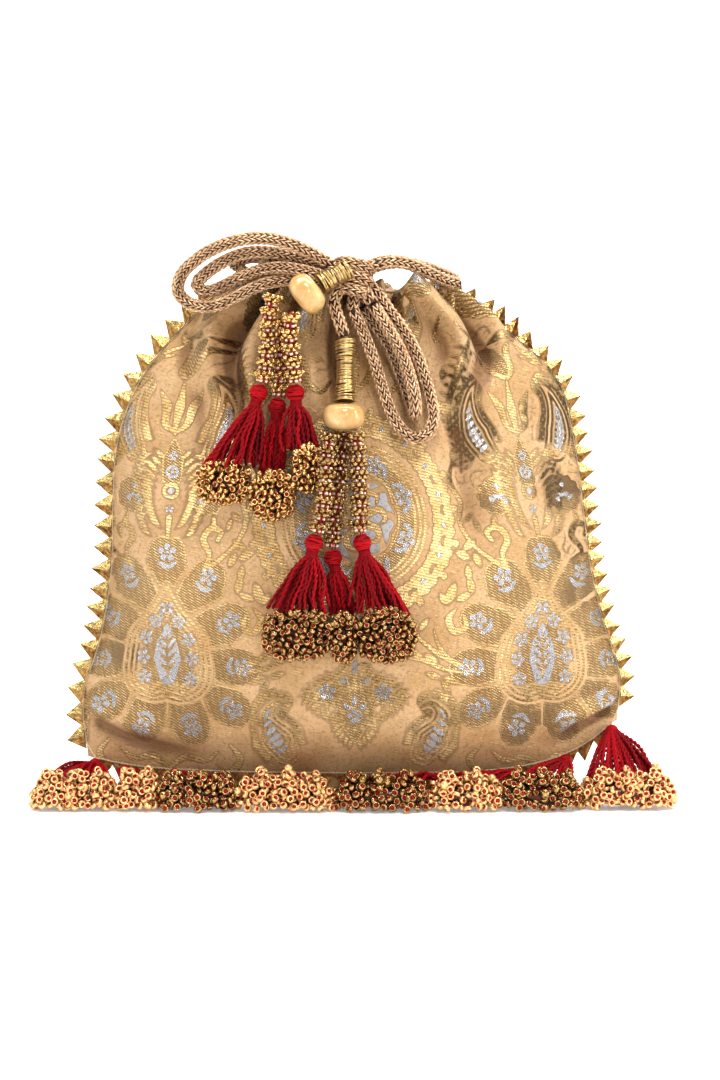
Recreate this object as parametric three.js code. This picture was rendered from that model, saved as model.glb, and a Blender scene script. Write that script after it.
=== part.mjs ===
// A drawstring potli bag, in millimetres: +Z up, the front of the bag faces -Y.
// Two brocade panels and a lining make the pouch; a knit drawcord runs in the casing at the
// mouth and is tied in a bow, with two bead-and-tassel pendants hanging from the knot.
import * as THREE from 'three';

// Footprint centre, in the bag's own drawing frame: the origin is moved here.
const footprintCentreX = -0.5;
const footprintCentreY = -4.7;

// Pouch
const clothThickness = 1.6;
const liningInset = 3.4;        // outer face of the lining, inside the outer face of the cloth
const liningThickness = 0.8;
const seamPull = 1.7;           // how far a seam moves in for each millimetre of inset
const seamMargin = 0.021;       // strip left free for the seam cord, as a share of the width
const bottomMargin = 0.021;     // the same at the bottom, as a share of the height
const liningTop = 0.9;          // the lining ends below the casing
const fullness = 2.4;           // how square the pouch is across its width
const sections = 18;
const rows = 15;

// Trim
const seamCordRadius = 0.9;
const gotaPitch = 8.4;
const gotaHeight = 8;
const gotaThickness = 0.8;
const gotaRoot = 1.3;           // from the seam line to the strip's sewn edge
const gotaValley = 2.6;

// Drawcord and pendants
const cordRadius = 2.5;
const knotHalfWidth = 8.2;
const knotHalfDepth = 7.2;
const tailRadius = 3.2;
const neckRadius = 4;
const jadeRadius = 8.3;
const jadeHalfThickness = 5.2;
const strandRadius = 4;
const headRadius = 3.3;
const jadeTilt = [-0.8, 0, -0.6];

// Side seams of the pouch from its bottom corners to the mouth, and the bottom seam
const leftSeam = [
  [-109, -4, 16], [-111, -1, 40], [-104, 0, 64], [-99.3, 0, 92], [-98.4, 0, 120],
  [-96, 0, 146], [-86, 0, 171], [-68, 0, 192], [-46, 0, 213],
];
const rightSeam = [
  [107, -3, 31], [107.8, -1, 50], [101.5, 0, 70], [95.8, 0, 94], [92.4, 0, 120],
  [88.6, 0, 146], [82, 0, 169.5], [64, 0, 187], [40, 0, 204],
];
const bottomSeam = [
  [-109, -4, 16], [-88, -13, 13.5], [-60, -18, 12.5], [-20, -20, 12], [20, -20, 12], [50, -19, 12.5],
  [72, -16.5, 15], [90, -11, 20.5], [107, -3, 31],
];

// Middle of the front panel and of the back panel: share of the height, then Y and Z
const frontMiddle = [
  [0, -20, 12], [0.125, -33, 33], [0.25, -38.5, 60], [0.375, -38.5, 90], [0.5, -35, 118],
  [0.625, -30, 145], [0.75, -24, 170], [0.875, -18, 191], [1, -13, 209],
];
const backMiddle = [
  [0, -20, 12], [0.05, -14, 0], [0.15, 18, -3], [0.22, 31, 12], [0.3, 37, 40], [0.42, 38, 80],
  [0.55, 34, 118], [0.7, 26, 155], [0.85, 17, 187], [1, 11, 208],
];

const finish = {
  brocade: new THREE.MeshStandardMaterial({ color: 0xc4a06f, roughness: 0.45, metalness: 0.25 }),
  lining: new THREE.MeshStandardMaterial({ color: 0xa98a5e, roughness: 0.6, metalness: 0 }),
  seamCord: new THREE.MeshStandardMaterial({ color: 0xe6dcc4, roughness: 0.5, metalness: 0.3 }),
  gota: new THREE.MeshStandardMaterial({ color: 0xdcb456, roughness: 0.25, metalness: 0.9 }),
  drawcord: new THREE.MeshStandardMaterial({ color: 0xb98a5c, roughness: 0.4, metalness: 0.6 }),
  wire: new THREE.MeshStandardMaterial({ color: 0xc9a85a, roughness: 0.3, metalness: 0.9 }),
  jade: new THREE.MeshStandardMaterial({ color: 0xe6c88e, roughness: 0.2, metalness: 0 }),
  beads: new THREE.MeshStandardMaterial({ color: 0xcfa45c, roughness: 0.35, metalness: 0.8 }),
  darkBeads: new THREE.MeshStandardMaterial({ color: 0x8f6f3c, roughness: 0.35, metalness: 0.8 }),
  thread: new THREE.MeshStandardMaterial({ color: 0xb0101f, roughness: 0.7, metalness: 0 }),
};

// The row of fringe tassels: where each heap of beads lies, and where its threads leave the seam
const fringe = [
  { x: -111, width: 33, y: -33, seamX: -107, beads: finish.beads },
  { x: -86.4, width: 14.5, y: -34, seamX: -88, beads: finish.beads },
  { x: -62.5, width: 31, y: -35, seamX: -64, beads: finish.darkBeads },
  { x: -27.5, width: 37, y: -36, seamX: -28, beads: finish.beads },
  { x: 10.5, width: 36, y: -36, seamX: 10, beads: finish.darkBeads },
  { x: 43.5, width: 27, y: -35.5, seamX: 42, beads: finish.beads },
  { x: 73.5, width: 30.5, y: -34, seamX: 72, beads: finish.darkBeads },
  { x: 108.5, width: 36, y: -31, seamX: 104, beads: finish.beads },
];
const fringeDepth = 17;
const fringeHeight = 15;
const fringeCentre = 6;         // height of the heaps' middle line
const heapForward = 3;          // the heaps lie this far in front of their threads

const bag = new THREE.Group();
bag.position.set(-footprintCentreX, -footprintCentreY, 0);

function add(name, geometry, material) {
  const mesh = new THREE.Mesh(geometry, material);
  mesh.name = name;
  bag.add(mesh);
  return mesh;
}

function curveThrough(points) {
  return new THREE.CatmullRomCurve3(points.map((p) => new THREE.Vector3(...p)), false, 'centripetal');
}

// A smooth value along stations [t, a, b], by a Hermite curve through them.
function alongStations(stations, t) {
  let k = 0;
  while (k < stations.length - 2 && t > stations[k + 1][0]) {
    k += 1;
  }
  const [before, from, to, after] = [k - 1, k, k + 1, k + 2].map(
    (i) => stations[Math.min(Math.max(i, 0), stations.length - 1)],
  );
  const span = to[0] - from[0];
  const h = (t - from[0]) / span;
  return [1, 2].map((c) => {
    const slopeFrom = (to[c] - before[c]) / (to[0] - before[0]);
    const slopeTo = (after[c] - from[c]) / (after[0] - from[0]);
    return (2 * h ** 3 - 3 * h ** 2 + 1) * from[c] + (h ** 3 - 2 * h ** 2 + h) * span * slopeFrom
      + (3 * h ** 2 - 2 * h ** 3) * to[c] + (h ** 3 - h ** 2) * span * slopeTo;
  });
}

// Places on the pouch: side, across (-1 left to 1 right), up (0 bottom to 1 mouth), inset.
const leftCurve = curveThrough(leftSeam);
const rightCurve = curveThrough(rightSeam);
const bottomCurve = curveThrough(bottomSeam);

function pouchPoint(middle, across, up, inset) {
  const u = (across + 1) / 2;
  const left = leftCurve.getPoint(up);
  const right = rightCurve.getPoint(up);
  left.x += seamPull * inset;
  right.x -= seamPull * inset;
  const point = left.clone().lerp(right, u);
  const bottom = bottomCurve.getPoint(u);
  const bottomChord = leftCurve.getPoint(0).lerp(rightCurve.getPoint(0), u);
  const bottomShare = Math.max(0, 1 - up / 0.5) ** 2;
  point.addScaledVector(bottom.sub(bottomChord), bottomShare);
  point.z += inset * bottomShare;
  const centreLine = leftCurve.getPoint(up).add(rightCurve.getPoint(up)).multiplyScalar(0.5);
  const bottomMiddle = bottomCurve.getPoint(0.5);
  const chordMiddle = leftCurve.getPoint(0).add(rightCurve.getPoint(0)).multiplyScalar(0.5);
  centreLine.addScaledVector(bottomMiddle.sub(chordMiddle), bottomShare);
  const [y, z] = alongStations(middle, up);
  const crown = (1 - Math.abs(across) ** fullness) ** 0.8;
  const depth = y - centreLine.y;
  const shrink = Math.max(0, Math.abs(depth) - inset) * Math.sign(depth);
  point.y += crown * shrink;
  point.z += crown * (z - centreLine.z);
  point.z = Math.max(point.z, inset);
  return point;
}

// A closed body from an outer and an inner grid of points, joined around the rim.
function shellBetween(outer, inner) {
  const height = outer.length;
  const width = outer[0].length;
  const positions = [...outer.flat(), ...inner.flat()].flatMap((p) => [p.x, p.y, p.z]);
  const indices = [];
  const outerAt = (r, c) => r * width + c;
  const innerAt = (r, c) => height * width + r * width + c;
  const quad = (a, b, c, d) => indices.push(a, b, c, a, c, d);
  for (let r = 0; r < height - 1; r += 1) {
    for (let c = 0; c < width - 1; c += 1) {
      quad(outerAt(r, c), outerAt(r, c + 1), outerAt(r + 1, c + 1), outerAt(r + 1, c));
      quad(innerAt(r, c), innerAt(r + 1, c), innerAt(r + 1, c + 1), innerAt(r, c + 1));
    }
    quad(outerAt(r, 0), outerAt(r + 1, 0), innerAt(r + 1, 0), innerAt(r, 0));
    const last = width - 1;
    quad(outerAt(r, last), innerAt(r, last), innerAt(r + 1, last), outerAt(r + 1, last));
  }
  const top = height - 1;
  for (let c = 0; c < width - 1; c += 1) {
    quad(outerAt(0, c), innerAt(0, c), innerAt(0, c + 1), outerAt(0, c + 1));
    quad(outerAt(top, c), outerAt(top, c + 1), innerAt(top, c + 1), innerAt(top, c));
  }
  return geometryFrom(positions, indices);
}

function geometryFrom(positions, indices) {
  const geometry = new THREE.BufferGeometry();
  geometry.setAttribute('position', new THREE.Float32BufferAttribute(positions, 3));
  geometry.setIndex(indices);
  geometry.computeVertexNormals();
  return geometry;
}

// Columns lie closer together toward the side seams.
function spreadAcross(column, count) {
  return Math.sin((Math.PI / 2) * ((2 * column) / count - 1));
}

function panelGrid(middle, inset, direction) {
  const grid = [];
  for (let r = 0; r <= rows; r += 1) {
    const up = bottomMargin + (1 - bottomMargin) * (r / rows) ** 1.15;
    const line = [];
    for (let c = 0; c <= sections; c += 1) {
      const across = direction * (1 - seamMargin) * spreadAcross(c, sections);
      line.push(pouchPoint(middle, across, up, inset));
    }
    grid.push(line);
  }
  return grid;
}

function makePanels() {
  const front = shellBetween(panelGrid(frontMiddle, 0, 1), panelGrid(frontMiddle, clothThickness, 1));
  const back = shellBetween(panelGrid(backMiddle, 0, -1), panelGrid(backMiddle, clothThickness, -1));
  add('front_panel', front, finish.brocade);
  add('back_panel', back, finish.brocade);
}

// The lining is one pouch: rings around it, from the bottom seam to its hem.
function makeLining() {
  const across = 12;
  const levels = 9;
  const ring = (up, inset) => {
    const points = [];
    for (let c = 0; c <= across; c += 1) {
      points.push(pouchPoint(frontMiddle, spreadAcross(c, across), up, inset));
    }
    for (let c = across - 1; c > 0; c -= 1) {
      points.push(pouchPoint(backMiddle, spreadAcross(c, across), up, inset));
    }
    return points;
  };
  const around = 2 * across;
  const positions = [];
  const indices = [];
  const layers = [liningInset, liningInset + liningThickness];
  const start = [0, 0];
  layers.forEach((inset, layer) => {
    start[layer] = positions.length / 3;
    for (let r = 0; r <= levels; r += 1) {
      const up = liningTop * (0.03 + 0.97 * (r / levels) ** 1.2);
      ring(up, inset).forEach((p) => positions.push(p.x, p.y, p.z));
    }
  });
  const at = (layer, r, c) => start[layer] + r * around + ((c + around) % around);
  const quad = (a, b, c, d) => indices.push(a, b, c, a, c, d);
  for (let r = 0; r < levels; r += 1) {
    for (let c = 0; c < around; c += 1) {
      quad(at(0, r, c), at(0, r, c + 1), at(0, r + 1, c + 1), at(0, r + 1, c));
      quad(at(1, r, c), at(1, r + 1, c), at(1, r + 1, c + 1), at(1, r, c + 1));
    }
  }
  for (let c = 0; c < around; c += 1) {
    quad(at(0, levels, c), at(0, levels, c + 1), at(1, levels, c + 1), at(1, levels, c));
  }
  // the closed bottom, a strip between the front half and the back half of the first ring
  for (let c = 0; c < across; c += 1) {
    quad(at(0, 0, c), at(0, 0, around - c), at(0, 0, around - c - 1), at(0, 0, c + 1));
    quad(at(1, 0, c), at(1, 0, c + 1), at(1, 0, around - c - 1), at(1, 0, around - c));
  }
  add('lining_bag', geometryFrom(positions, indices), finish.lining);
}

function tube(points, radius, sides, steps) {
  const section = new THREE.Shape();
  for (let k = 0; k < sides; k += 1) {
    const angle = (2 * Math.PI * k) / sides;
    if (k === 0) {
      section.moveTo(radius, 0);
    } else {
      section.lineTo(radius * Math.cos(angle), radius * Math.sin(angle));
    }
  }
  section.closePath();
  return new THREE.ExtrudeGeometry(section, { steps, extrudePath: curveThrough(points) });
}

function seamLine(curve, from, to, count) {
  const points = [];
  for (let k = 0; k <= count; k += 1) {
    points.push(curve.getPoint(from + ((to - from) * k) / count));
  }
  return points;
}

function makeSeamCord() {
  const down = seamLine(leftCurve, 0.985, 0.03, 12);
  const along = seamLine(bottomCurve, 0.02, 0.98, 12);
  const up = seamLine(rightCurve, 0.03, 0.985, 12);
  const points = [...down, ...along, ...up].map((p) => [p.x, p.y, p.z]);
  add('seam_cord', tube(points, seamCordRadius, 6, 72), finish.seamCord);
}

// A strip of folded foil triangles, pointing outward from a seam.
function gotaStrip(curve, fromLength, toLength, outwardOf) {
  const total = curve.getLength();
  const teeth = Math.floor((toLength - fromLength) / gotaPitch);
  const positions = [];
  const indices = [];
  for (let k = 0; k <= 2 * teeth; k += 1) {
    const u = (fromLength + (k * gotaPitch) / 2) / total;
    const place = curve.getPointAt(u);
    const tangent = curve.getTangentAt(u);
    const outward = outwardOf(tangent);
    const normal = tangent.clone().cross(outward).normalize();
    const reach = k % 2 === 1 ? gotaRoot + gotaHeight : gotaRoot + gotaValley;
    for (const side of [0.5, -0.5]) {
      const offset = normal.clone().multiplyScalar(side * gotaThickness);
      const root = place.clone().addScaledVector(outward, gotaRoot).add(offset);
      const edge = place.clone().addScaledVector(outward, reach).add(offset);
      positions.push(...root, ...edge);
    }
  }
  // per station: 0 root front, 1 edge front, 2 root back, 3 edge back
  const quad = (a, b, c, d) => indices.push(a, b, c, a, c, d);
  for (let k = 0; k < 2 * teeth; k += 1) {
    const a = 4 * k;
    const b = a + 4;
    quad(a, b, b + 1, a + 1);
    quad(a + 2, a + 3, b + 3, b + 2);
    quad(a + 1, b + 1, b + 3, a + 3);
    quad(a, a + 2, b + 2, b);
  }
  quad(0, 1, 3, 2);
  const last = 8 * teeth;
  quad(last, last + 2, last + 3, last + 1);
  return geometryFrom(positions, indices);
}

function makeGota() {
  const toLeft = (tangent) => new THREE.Vector3(-tangent.z, 0, tangent.x).normalize();
  const toRight = (tangent) => toLeft(tangent).negate();
  const down = () => new THREE.Vector3(0, -0.12, -1).normalize();
  const strips = [
    ['gota_trim_left', leftCurve, 6, 18, toLeft],
    ['gota_trim_right', rightCurve, 6, 4, toRight],
    ['gota_trim_bottom', bottomCurve, 14, 12, down],
  ];
  for (const [name, curve, fromStart, fromEnd, outwardOf] of strips) {
    add(name, gotaStrip(curve, fromStart, curve.getLength() - fromEnd, outwardOf), finish.gota);
  }
}

// A solid between two points, with oval sections: [share of the length, half width, half depth].
function loft(from, to, stations, sides = 8) {
  const start = new THREE.Vector3(...from);
  const axis = new THREE.Vector3(...to).sub(start);
  const along = axis.clone().normalize();
  const depthDir = new THREE.Vector3(0, 1, 0);
  depthDir.addScaledVector(along, -depthDir.dot(along)).normalize();
  const widthDir = depthDir.clone().cross(along);
  const positions = [];
  const indices = [];
  for (const [share, halfWidth, halfDepth] of stations) {
    const centre = start.clone().addScaledVector(axis, share);
    for (let k = 0; k < sides; k += 1) {
      const angle = (2 * Math.PI * (k + 0.5)) / sides;
      const p = centre.clone().addScaledVector(widthDir, halfWidth * Math.cos(angle));
      p.addScaledVector(depthDir, halfDepth * Math.sin(angle));
      positions.push(p.x, p.y, p.z);
    }
  }
  const last = (stations.length - 1) * sides;
  for (let r = 0; r < stations.length - 1; r += 1) {
    for (let k = 0; k < sides; k += 1) {
      const a = r * sides + k;
      const b = r * sides + ((k + 1) % sides);
      indices.push(a, b, b + sides, a, b + sides, a + sides);
    }
  }
  for (let k = 1; k < sides - 1; k += 1) {
    indices.push(0, k + 1, k);
    indices.push(last, last + k, last + k + 1);
  }
  return geometryFrom(positions, indices);
}

// Stations of a rounded body; blunt below 1 makes its ends squarer.
function roundStations(halfWidth, halfDepth, count = 6, blunt = 1) {
  const stations = [];
  for (let k = 0; k <= count; k += 1) {
    const angle = (Math.PI * (k + 0.35)) / (count + 0.7);
    const size = Math.sin(angle) ** blunt;
    stations.push([(1 - Math.cos(angle)) / 2, halfWidth * size, halfDepth * size]);
  }
  return stations;
}

// Drawcord: two runs out of each end of the casing, and a bow of doubled loops.
const drawcordRoutes = {
  casing_cord_front: [
    [-39, -1, 208.6], [-32, -4.2, 206.6], [-20, -7.2, 204.5], [-4, -8.2, 204], [12, -7.6, 203.5],
    [24, -5, 203], [31, -1.4, 202.6],
  ],
  casing_cord_back: [
    [-39, 0.6, 202.6], [-32, 2.4, 202], [-20, 4.8, 202.5], [-4, 5.8, 202.5], [12, 5.2, 201.5],
    [24, 3, 198.6], [31, 0.8, 196.8],
  ],
  drawcord_left_run: [
    [-48.5, -3.5, 214.5], [-45, -7.5, 218], [-39, -11, 218.8], [-31, -13, 217], [-22, -14.2, 215.3],
    [-11.5, -14.9, 213.2],
  ],
  drawcord_right_front: [
    [8.2, -21.3, 216], [13, -19.8, 217], [20, -17, 216.4], [28, -12.8, 213.3], [35, -7.6, 210],
    [41.5, -2.8, 208.2],
  ],
  drawcord_right_back: [
    [7.2, -15.4, 214.8], [13, -13.4, 216.4], [20, -10, 216.6], [28, -5.4, 214.6], [35, 0, 212.2],
    [41, 5, 209.6],
  ],
  bow_loop_left_outer: [
    [-11, -25.3, 216.4], [-17, -26, 220], [-25, -26.2, 223.6], [-34, -25, 225.8], [-44, -22.5, 225.6],
    [-54, -19.3, 222.8], [-63, -16.2, 217.8], [-69.5, -14, 211.2], [-70.6, -13.8, 205], [-66.5, -15.4, 200.6],
    [-60, -17.6, 199], [-52.5, -20.2, 200.2], [-45, -22.3, 204], [-37, -23.3, 207.6], [-28, -23, 209.5],
    [-19, -22, 209.2], [-11, -20.8, 207.6],
  ],
  bow_loop_left_inner: [
    [-11, -20.6, 213.4], [-17, -20.8, 215.8], [-25, -20.6, 218.6], [-34, -19.6, 220.4], [-44, -17.4, 220],
    [-52.5, -15, 216.8], [-59.5, -12.8, 212.2], [-63.2, -12.2, 208], [-60.5, -13.8, 205.2], [-54.5, -16, 206.2],
    [-47, -18.6, 209.8], [-39, -20.4, 212.9], [-30, -24.4, 214.4], [-20.5, -26.4, 213.2], [-11, -25.3, 210.6],
  ],
  bow_loop_right_outer: [
    [9.3, -20.5, 204], [13.5, -22.6, 197.6], [18.3, -24.2, 191], [22.8, -25.8, 183.5], [26.9, -27.6, 173.6],
    [29.8, -29.6, 163.3], [31, -31.4, 155.6], [28.8, -32.8, 149.4], [23, -33.4, 147.6], [17, -33.2, 152.4],
    [12.8, -32.2, 161.2], [9.8, -30.8, 170.6], [6.8, -28.6, 180], [3.2, -26.6, 189], [-0.6, -25, 197.6],
  ],
  bow_loop_right_inner: [
    [3.2, -20.8, 198.2], [8, -22, 191.5], [13.2, -23.2, 184.2], [17, -25.2, 175], [20.4, -27, 166],
    [22.4, -29.4, 159.4], [23.4, -33.4, 156.8], [23.8, -37, 159], [23.4, -37.2, 164], [21.4, -33.6, 172.4],
    [18, -31, 181.6], [13, -28.6, 190.6], [7.5, -26.4, 199.6],
  ],
};

function makeDrawcord() {
  for (const [name, route] of Object.entries(drawcordRoutes)) {
    add(name, tube(route, cordRadius, 8, route.length + 5), finish.drawcord);
  }
  const knot = loft([-2, -20.8, 200.6], [-1, -21.2, 219], roundStations(knotHalfWidth, knotHalfDepth), 10);
  const tail = tube([[-8.6, -27.4, 201], [-6.4, -28.6, 194], [-4.2, -29.4, 187.4]], tailRadius, 8, 4);
  add('bow_knot', knot, finish.drawcord);
  add('pendant_tail', tail, finish.drawcord);
}

function jadeBead(centre, axis) {
  const from = centre.map((c, i) => c - axis[i] * jadeHalfThickness);
  const to = centre.map((c, i) => c + axis[i] * jadeHalfThickness);
  return loft(from, to, roundStations(jadeRadius, jadeRadius, 6), 12);
}

function makePendantHeads() {
  const narrow = neckRadius * 0.9;
  const neck = [[0, narrow, narrow], [0.5, neckRadius, neckRadius], [1, neckRadius, neckRadius]];
  add('neck_wrap_1', loft([-2.2, -34.4, 214], [-13.4, -36.4, 208.2], neck), finish.wire);
  add('neck_wrap_2', loft([-3.7, -29.6, 185.8], [-4, -34.6, 162], neck), finish.wire);
  add('jade_bead_1', jadeBead([-18.7, -37.5, 204.3], jadeTilt), finish.jade);
  add('jade_bead_2', jadeBead([-4.4, -38, 156.2], [0, 0, -1]), finish.jade);
}

// Each pendant: three beaded strands, each with a thread tassel and a cluster of beads at its end.
// flare is the half width and half depth of the tassel where its threads reach the beads.
const pendants = [
  {
    name: 'pendant_1',
    beads: finish.beads,
    legs: [
      {
        strand: [[-31.6, -38.6, 204], [-33.4, -39, 196], [-34, -38.4, 184], [-36.2, -37.6, 169.6]],
        head: [-36.8, -37.6, 168.8], skirt: [-45.4, -37.6, 139.4], flare: [12.4, 3],
        cluster: [-51.7, -35.6, 129.8], half: [10.2, 5.6, 8.4],
      },
      {
        strand: [[-24.6, -44.4, 196.6], [-25.2, -43.4, 190], [-24.4, -41, 180], [-23.4, -39.4, 169.6]],
        head: [-23.6, -39.6, 168.8], skirt: [-21.8, -40, 145.6], flare: [7.2, 3],
        cluster: [-18.7, -39.6, 135.2], half: [5.1, 5.4, 9.2],
      },
      {
        strand: [[-28.2, -32.8, 195], [-28.8, -32.4, 184], [-29.6, -31.8, 173], [-30, -31.4, 164]],
        head: [-30.4, -31.8, 163.2], skirt: [-32.6, -33.4, 136], flare: [5, 0.9],
        cluster: [-32.6, -37.8, 124.6], half: [8.2, 5.4, 9.6],
      },
    ],
  },
  {
    name: 'pendant_2',
    beads: finish.darkBeads,
    legs: [
      {
        strand: [[-9.6, -42.6, 149.6], [-11, -45.6, 138], [-12, -48.2, 125], [-14.6, -49.2, 111.4]],
        head: [-15.2, -49.2, 110.6], skirt: [-21.2, -47, 82.4], flare: [12.6, 3],
        cluster: [-22.9, -45.6, 71], half: [13.2, 5.8, 10.6],
      },
      {
        strand: [[0.8, -42, 149.6], [1.4, -43.6, 138], [1.8, -45.4, 125], [1.9, -47.2, 111.4]],
        head: [2.1, -47.8, 110.6], skirt: [8.6, -47, 82.4], flare: [12.4, 3],
        cluster: [12.3, -45.6, 70.6], half: [11.5, 5.8, 10.8],
      },
      {
        strand: [[-4.4, -35.2, 149.4], [-5.6, -37.8, 135], [-7.6, -40.2, 120], [-9, -41.8, 105]],
        head: [-9.2, -42.4, 104.2], skirt: [-4.6, -41.8, 81], flare: [5, 1.2],
        cluster: [-4.5, -45.4, 69.4], half: [4.6, 5.6, 10],
      },
    ],
  },
];

// Shares of a tassel's length: its thread-wound head, its neck, and the skirt that opens below.
function tasselStations([flareWidth, flareDepth]) {
  const neckWidth = headRadius * 0.8;
  const middleDepth = (neckWidth + flareDepth) / 2;
  return [
    [0, 1.2, 1.2], [0.07, headRadius * 0.9, headRadius * 0.9], [0.16, headRadius, headRadius],
    [0.26, neckWidth, neckWidth], [0.6, (neckWidth + flareWidth) * 0.45, middleDepth],
    [1, flareWidth, flareDepth],
  ];
}

function makePendants() {
  for (const pendant of pendants) {
    pendant.legs.forEach((leg, i) => {
      const number = i + 1;
      const [x, y, z] = leg.cluster;
      const [halfWidth, halfDepth, halfHeight] = leg.half;
      const above = [x, y, z + halfHeight];
      const below = [x, y, z - halfHeight];
      const strand = tube(leg.strand, strandRadius, 8, 5);
      const tassel = loft(leg.head, leg.skirt, tasselStations(leg.flare));
      const beads = loft(above, below, roundStations(halfWidth, halfDepth, 5, 0.7));
      add(`${pendant.name}_strand_${number}`, strand, pendant.beads);
      add(`${pendant.name}_tassel_${number}`, tassel, finish.thread);
      add(`${pendant.name}_beads_${number}`, beads, pendant.beads);
    });
  }
}

// The fringe: thread tassels from the bottom seam, their bead clusters lying on the ground.
function makeFringe() {
  const half = fringeDepth / 2;
  const seamLength = rightSeam[0][0] - leftSeam[0][0];
  fringe.forEach(({ x, width, y, seamX, beads }, i) => {
    const number = i + 1;
    const share = THREE.MathUtils.clamp((seamX - leftSeam[0][0]) / seamLength, 0.02, 0.98);
    const seam = bottomCurve.getPointAt(share);
    const threads = [
      [0, 2.2, 2.2], [0.3, Math.min(6, width / 4), 2.6], [1, width * 0.3, 3],
    ];
    const from = [seam.x, seam.y - 4.6, Math.max(seam.z - 2, 7.5)];
    const to = [x, y + half - 1.4, Math.max(8, seam.z * 0.55 + 1)];
    add(`fringe_tassel_${number}`, loft(from, to, threads), finish.thread);
    const sectionsOfHeap = roundStations(fringeHeight - fringeCentre, half, 6, 0.5);
    const left = [x - width / 2, y - heapForward, fringeCentre];
    const right = [x + width / 2, y - heapForward, fringeCentre];
    const heap = loft(left, right, sectionsOfHeap, 10);
    const position = heap.getAttribute('position');
    for (let k = 0; k < position.count; k += 1) {
      position.setZ(k, Math.max(position.getZ(k), 0));
    }
    add(`fringe_beads_${number}`, heap, beads);
  });
}

makePanels();
makeLining();
makeSeamCord();
makeGota();
makeDrawcord();
makePendantHeads();
makePendants();
makeFringe();

export default bag;
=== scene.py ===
import math
import bpy
import numpy as np
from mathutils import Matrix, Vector


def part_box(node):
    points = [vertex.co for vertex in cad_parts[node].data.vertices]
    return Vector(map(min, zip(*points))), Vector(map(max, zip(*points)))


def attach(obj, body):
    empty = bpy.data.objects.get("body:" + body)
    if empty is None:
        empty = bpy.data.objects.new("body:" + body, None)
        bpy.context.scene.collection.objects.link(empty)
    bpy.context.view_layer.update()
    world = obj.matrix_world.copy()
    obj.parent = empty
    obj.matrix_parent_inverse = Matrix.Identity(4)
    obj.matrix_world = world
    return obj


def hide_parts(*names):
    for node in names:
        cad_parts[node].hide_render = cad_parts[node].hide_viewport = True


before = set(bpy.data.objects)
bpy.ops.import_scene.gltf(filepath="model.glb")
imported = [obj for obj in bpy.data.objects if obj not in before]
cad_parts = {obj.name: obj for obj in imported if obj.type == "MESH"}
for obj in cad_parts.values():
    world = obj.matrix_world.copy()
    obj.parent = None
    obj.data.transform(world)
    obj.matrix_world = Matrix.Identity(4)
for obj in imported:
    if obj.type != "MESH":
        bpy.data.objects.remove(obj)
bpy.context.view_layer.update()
mm = 0.001

# the bag is drawn in its own millimetres; one jade bead tells where that drawing lies in the frame
jadeDrawn = (-4.4, -38.0, 156.2)
jadeLow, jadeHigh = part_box("jade_bead_2")
shift = np.array((jadeLow + jadeHigh) / 2) / mm - np.array(jadeDrawn)
print("frame loaded, drawing shift", shift.round(2))


# camera and light

studio = {
    "lookAt": (2.0, -20.0, 106.0),
    "distance": 1150.0,
    "elevation": 5.0,
    "imageWidth": 288.0,      # what the frame takes in at the bag, across
    "sensor": 36.0,
    "floor": (0.93, 0.925, 0.915),
    "floorGlow": 0.3,
    "wallGlow": 0.85,
    "floorReach": 4600.0,
    "wallBend": 500.0,
    "wallTop": 1500.0,
    "gamma": 0.8,
    "exposure": 0.0,
    "world": (1.0, 1.0, 1.0),
    "worldStrength": 0.14,
    "lights": [               # name, size, power, place and aim, in metres and watts
        ("key", (0.28, 0.28), 8.9, (0.12, -0.75, 1.2), (0, 0, 0.1)),
        ("front", (0.25, 0.25), 2.0, (0.35, -1.2, 0.6), (0, 0, 0.1)),
        ("back", (0.5, 0.5), 6.0, (0.3, 1.1, 0.9), (0, 0, 0.1)),
        ("side", (0.12, 0.8), 2.6, (0.95, -0.25, 0.4), (0, 0, 0.1)),
        ("left", (0.12, 0.8), 0.8, (-0.95, -0.1, 0.3), (0, 0, 0.1)),
        ("backdrop", (1.8, 0.5), 20.0, (0, 0.05, 1.3), (0, 0.62, 0.1)),
    ],
}


def placeOf(points):
    return (np.asarray(points, float) + shift) * mm


def makeCamera():
    look = Vector(placeOf(studio["lookAt"]))
    angle = math.radians(studio["elevation"])
    away = Vector((0, -math.cos(angle), math.sin(angle))) * studio["distance"] * mm
    camera = bpy.data.cameras.new("camera")
    camera.sensor_fit = "HORIZONTAL"
    camera.sensor_width = studio["sensor"]
    camera.lens = studio["sensor"] * studio["distance"] / studio["imageWidth"]
    holder = bpy.data.objects.new("camera", camera)
    holder.location = look + away
    holder.rotation_euler = (-away).to_track_quat("-Z", "Y").to_euler()
    bpy.context.scene.collection.objects.link(holder)
    bpy.context.scene.camera = holder


def makeLight(name, size, power, place, aim):
    lamp = bpy.data.lights.new(name, "AREA")
    lamp.shape = "RECTANGLE"
    lamp.size, lamp.size_y = size
    lamp.energy = power
    holder = bpy.data.objects.new(name, lamp)
    holder.location = place
    holder.rotation_euler = (Vector(aim) - Vector(place)).to_track_quat("-Z", "Y").to_euler()
    bpy.context.scene.collection.objects.link(holder)


# shader helper: a socket that takes Python arithmetic

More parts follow.
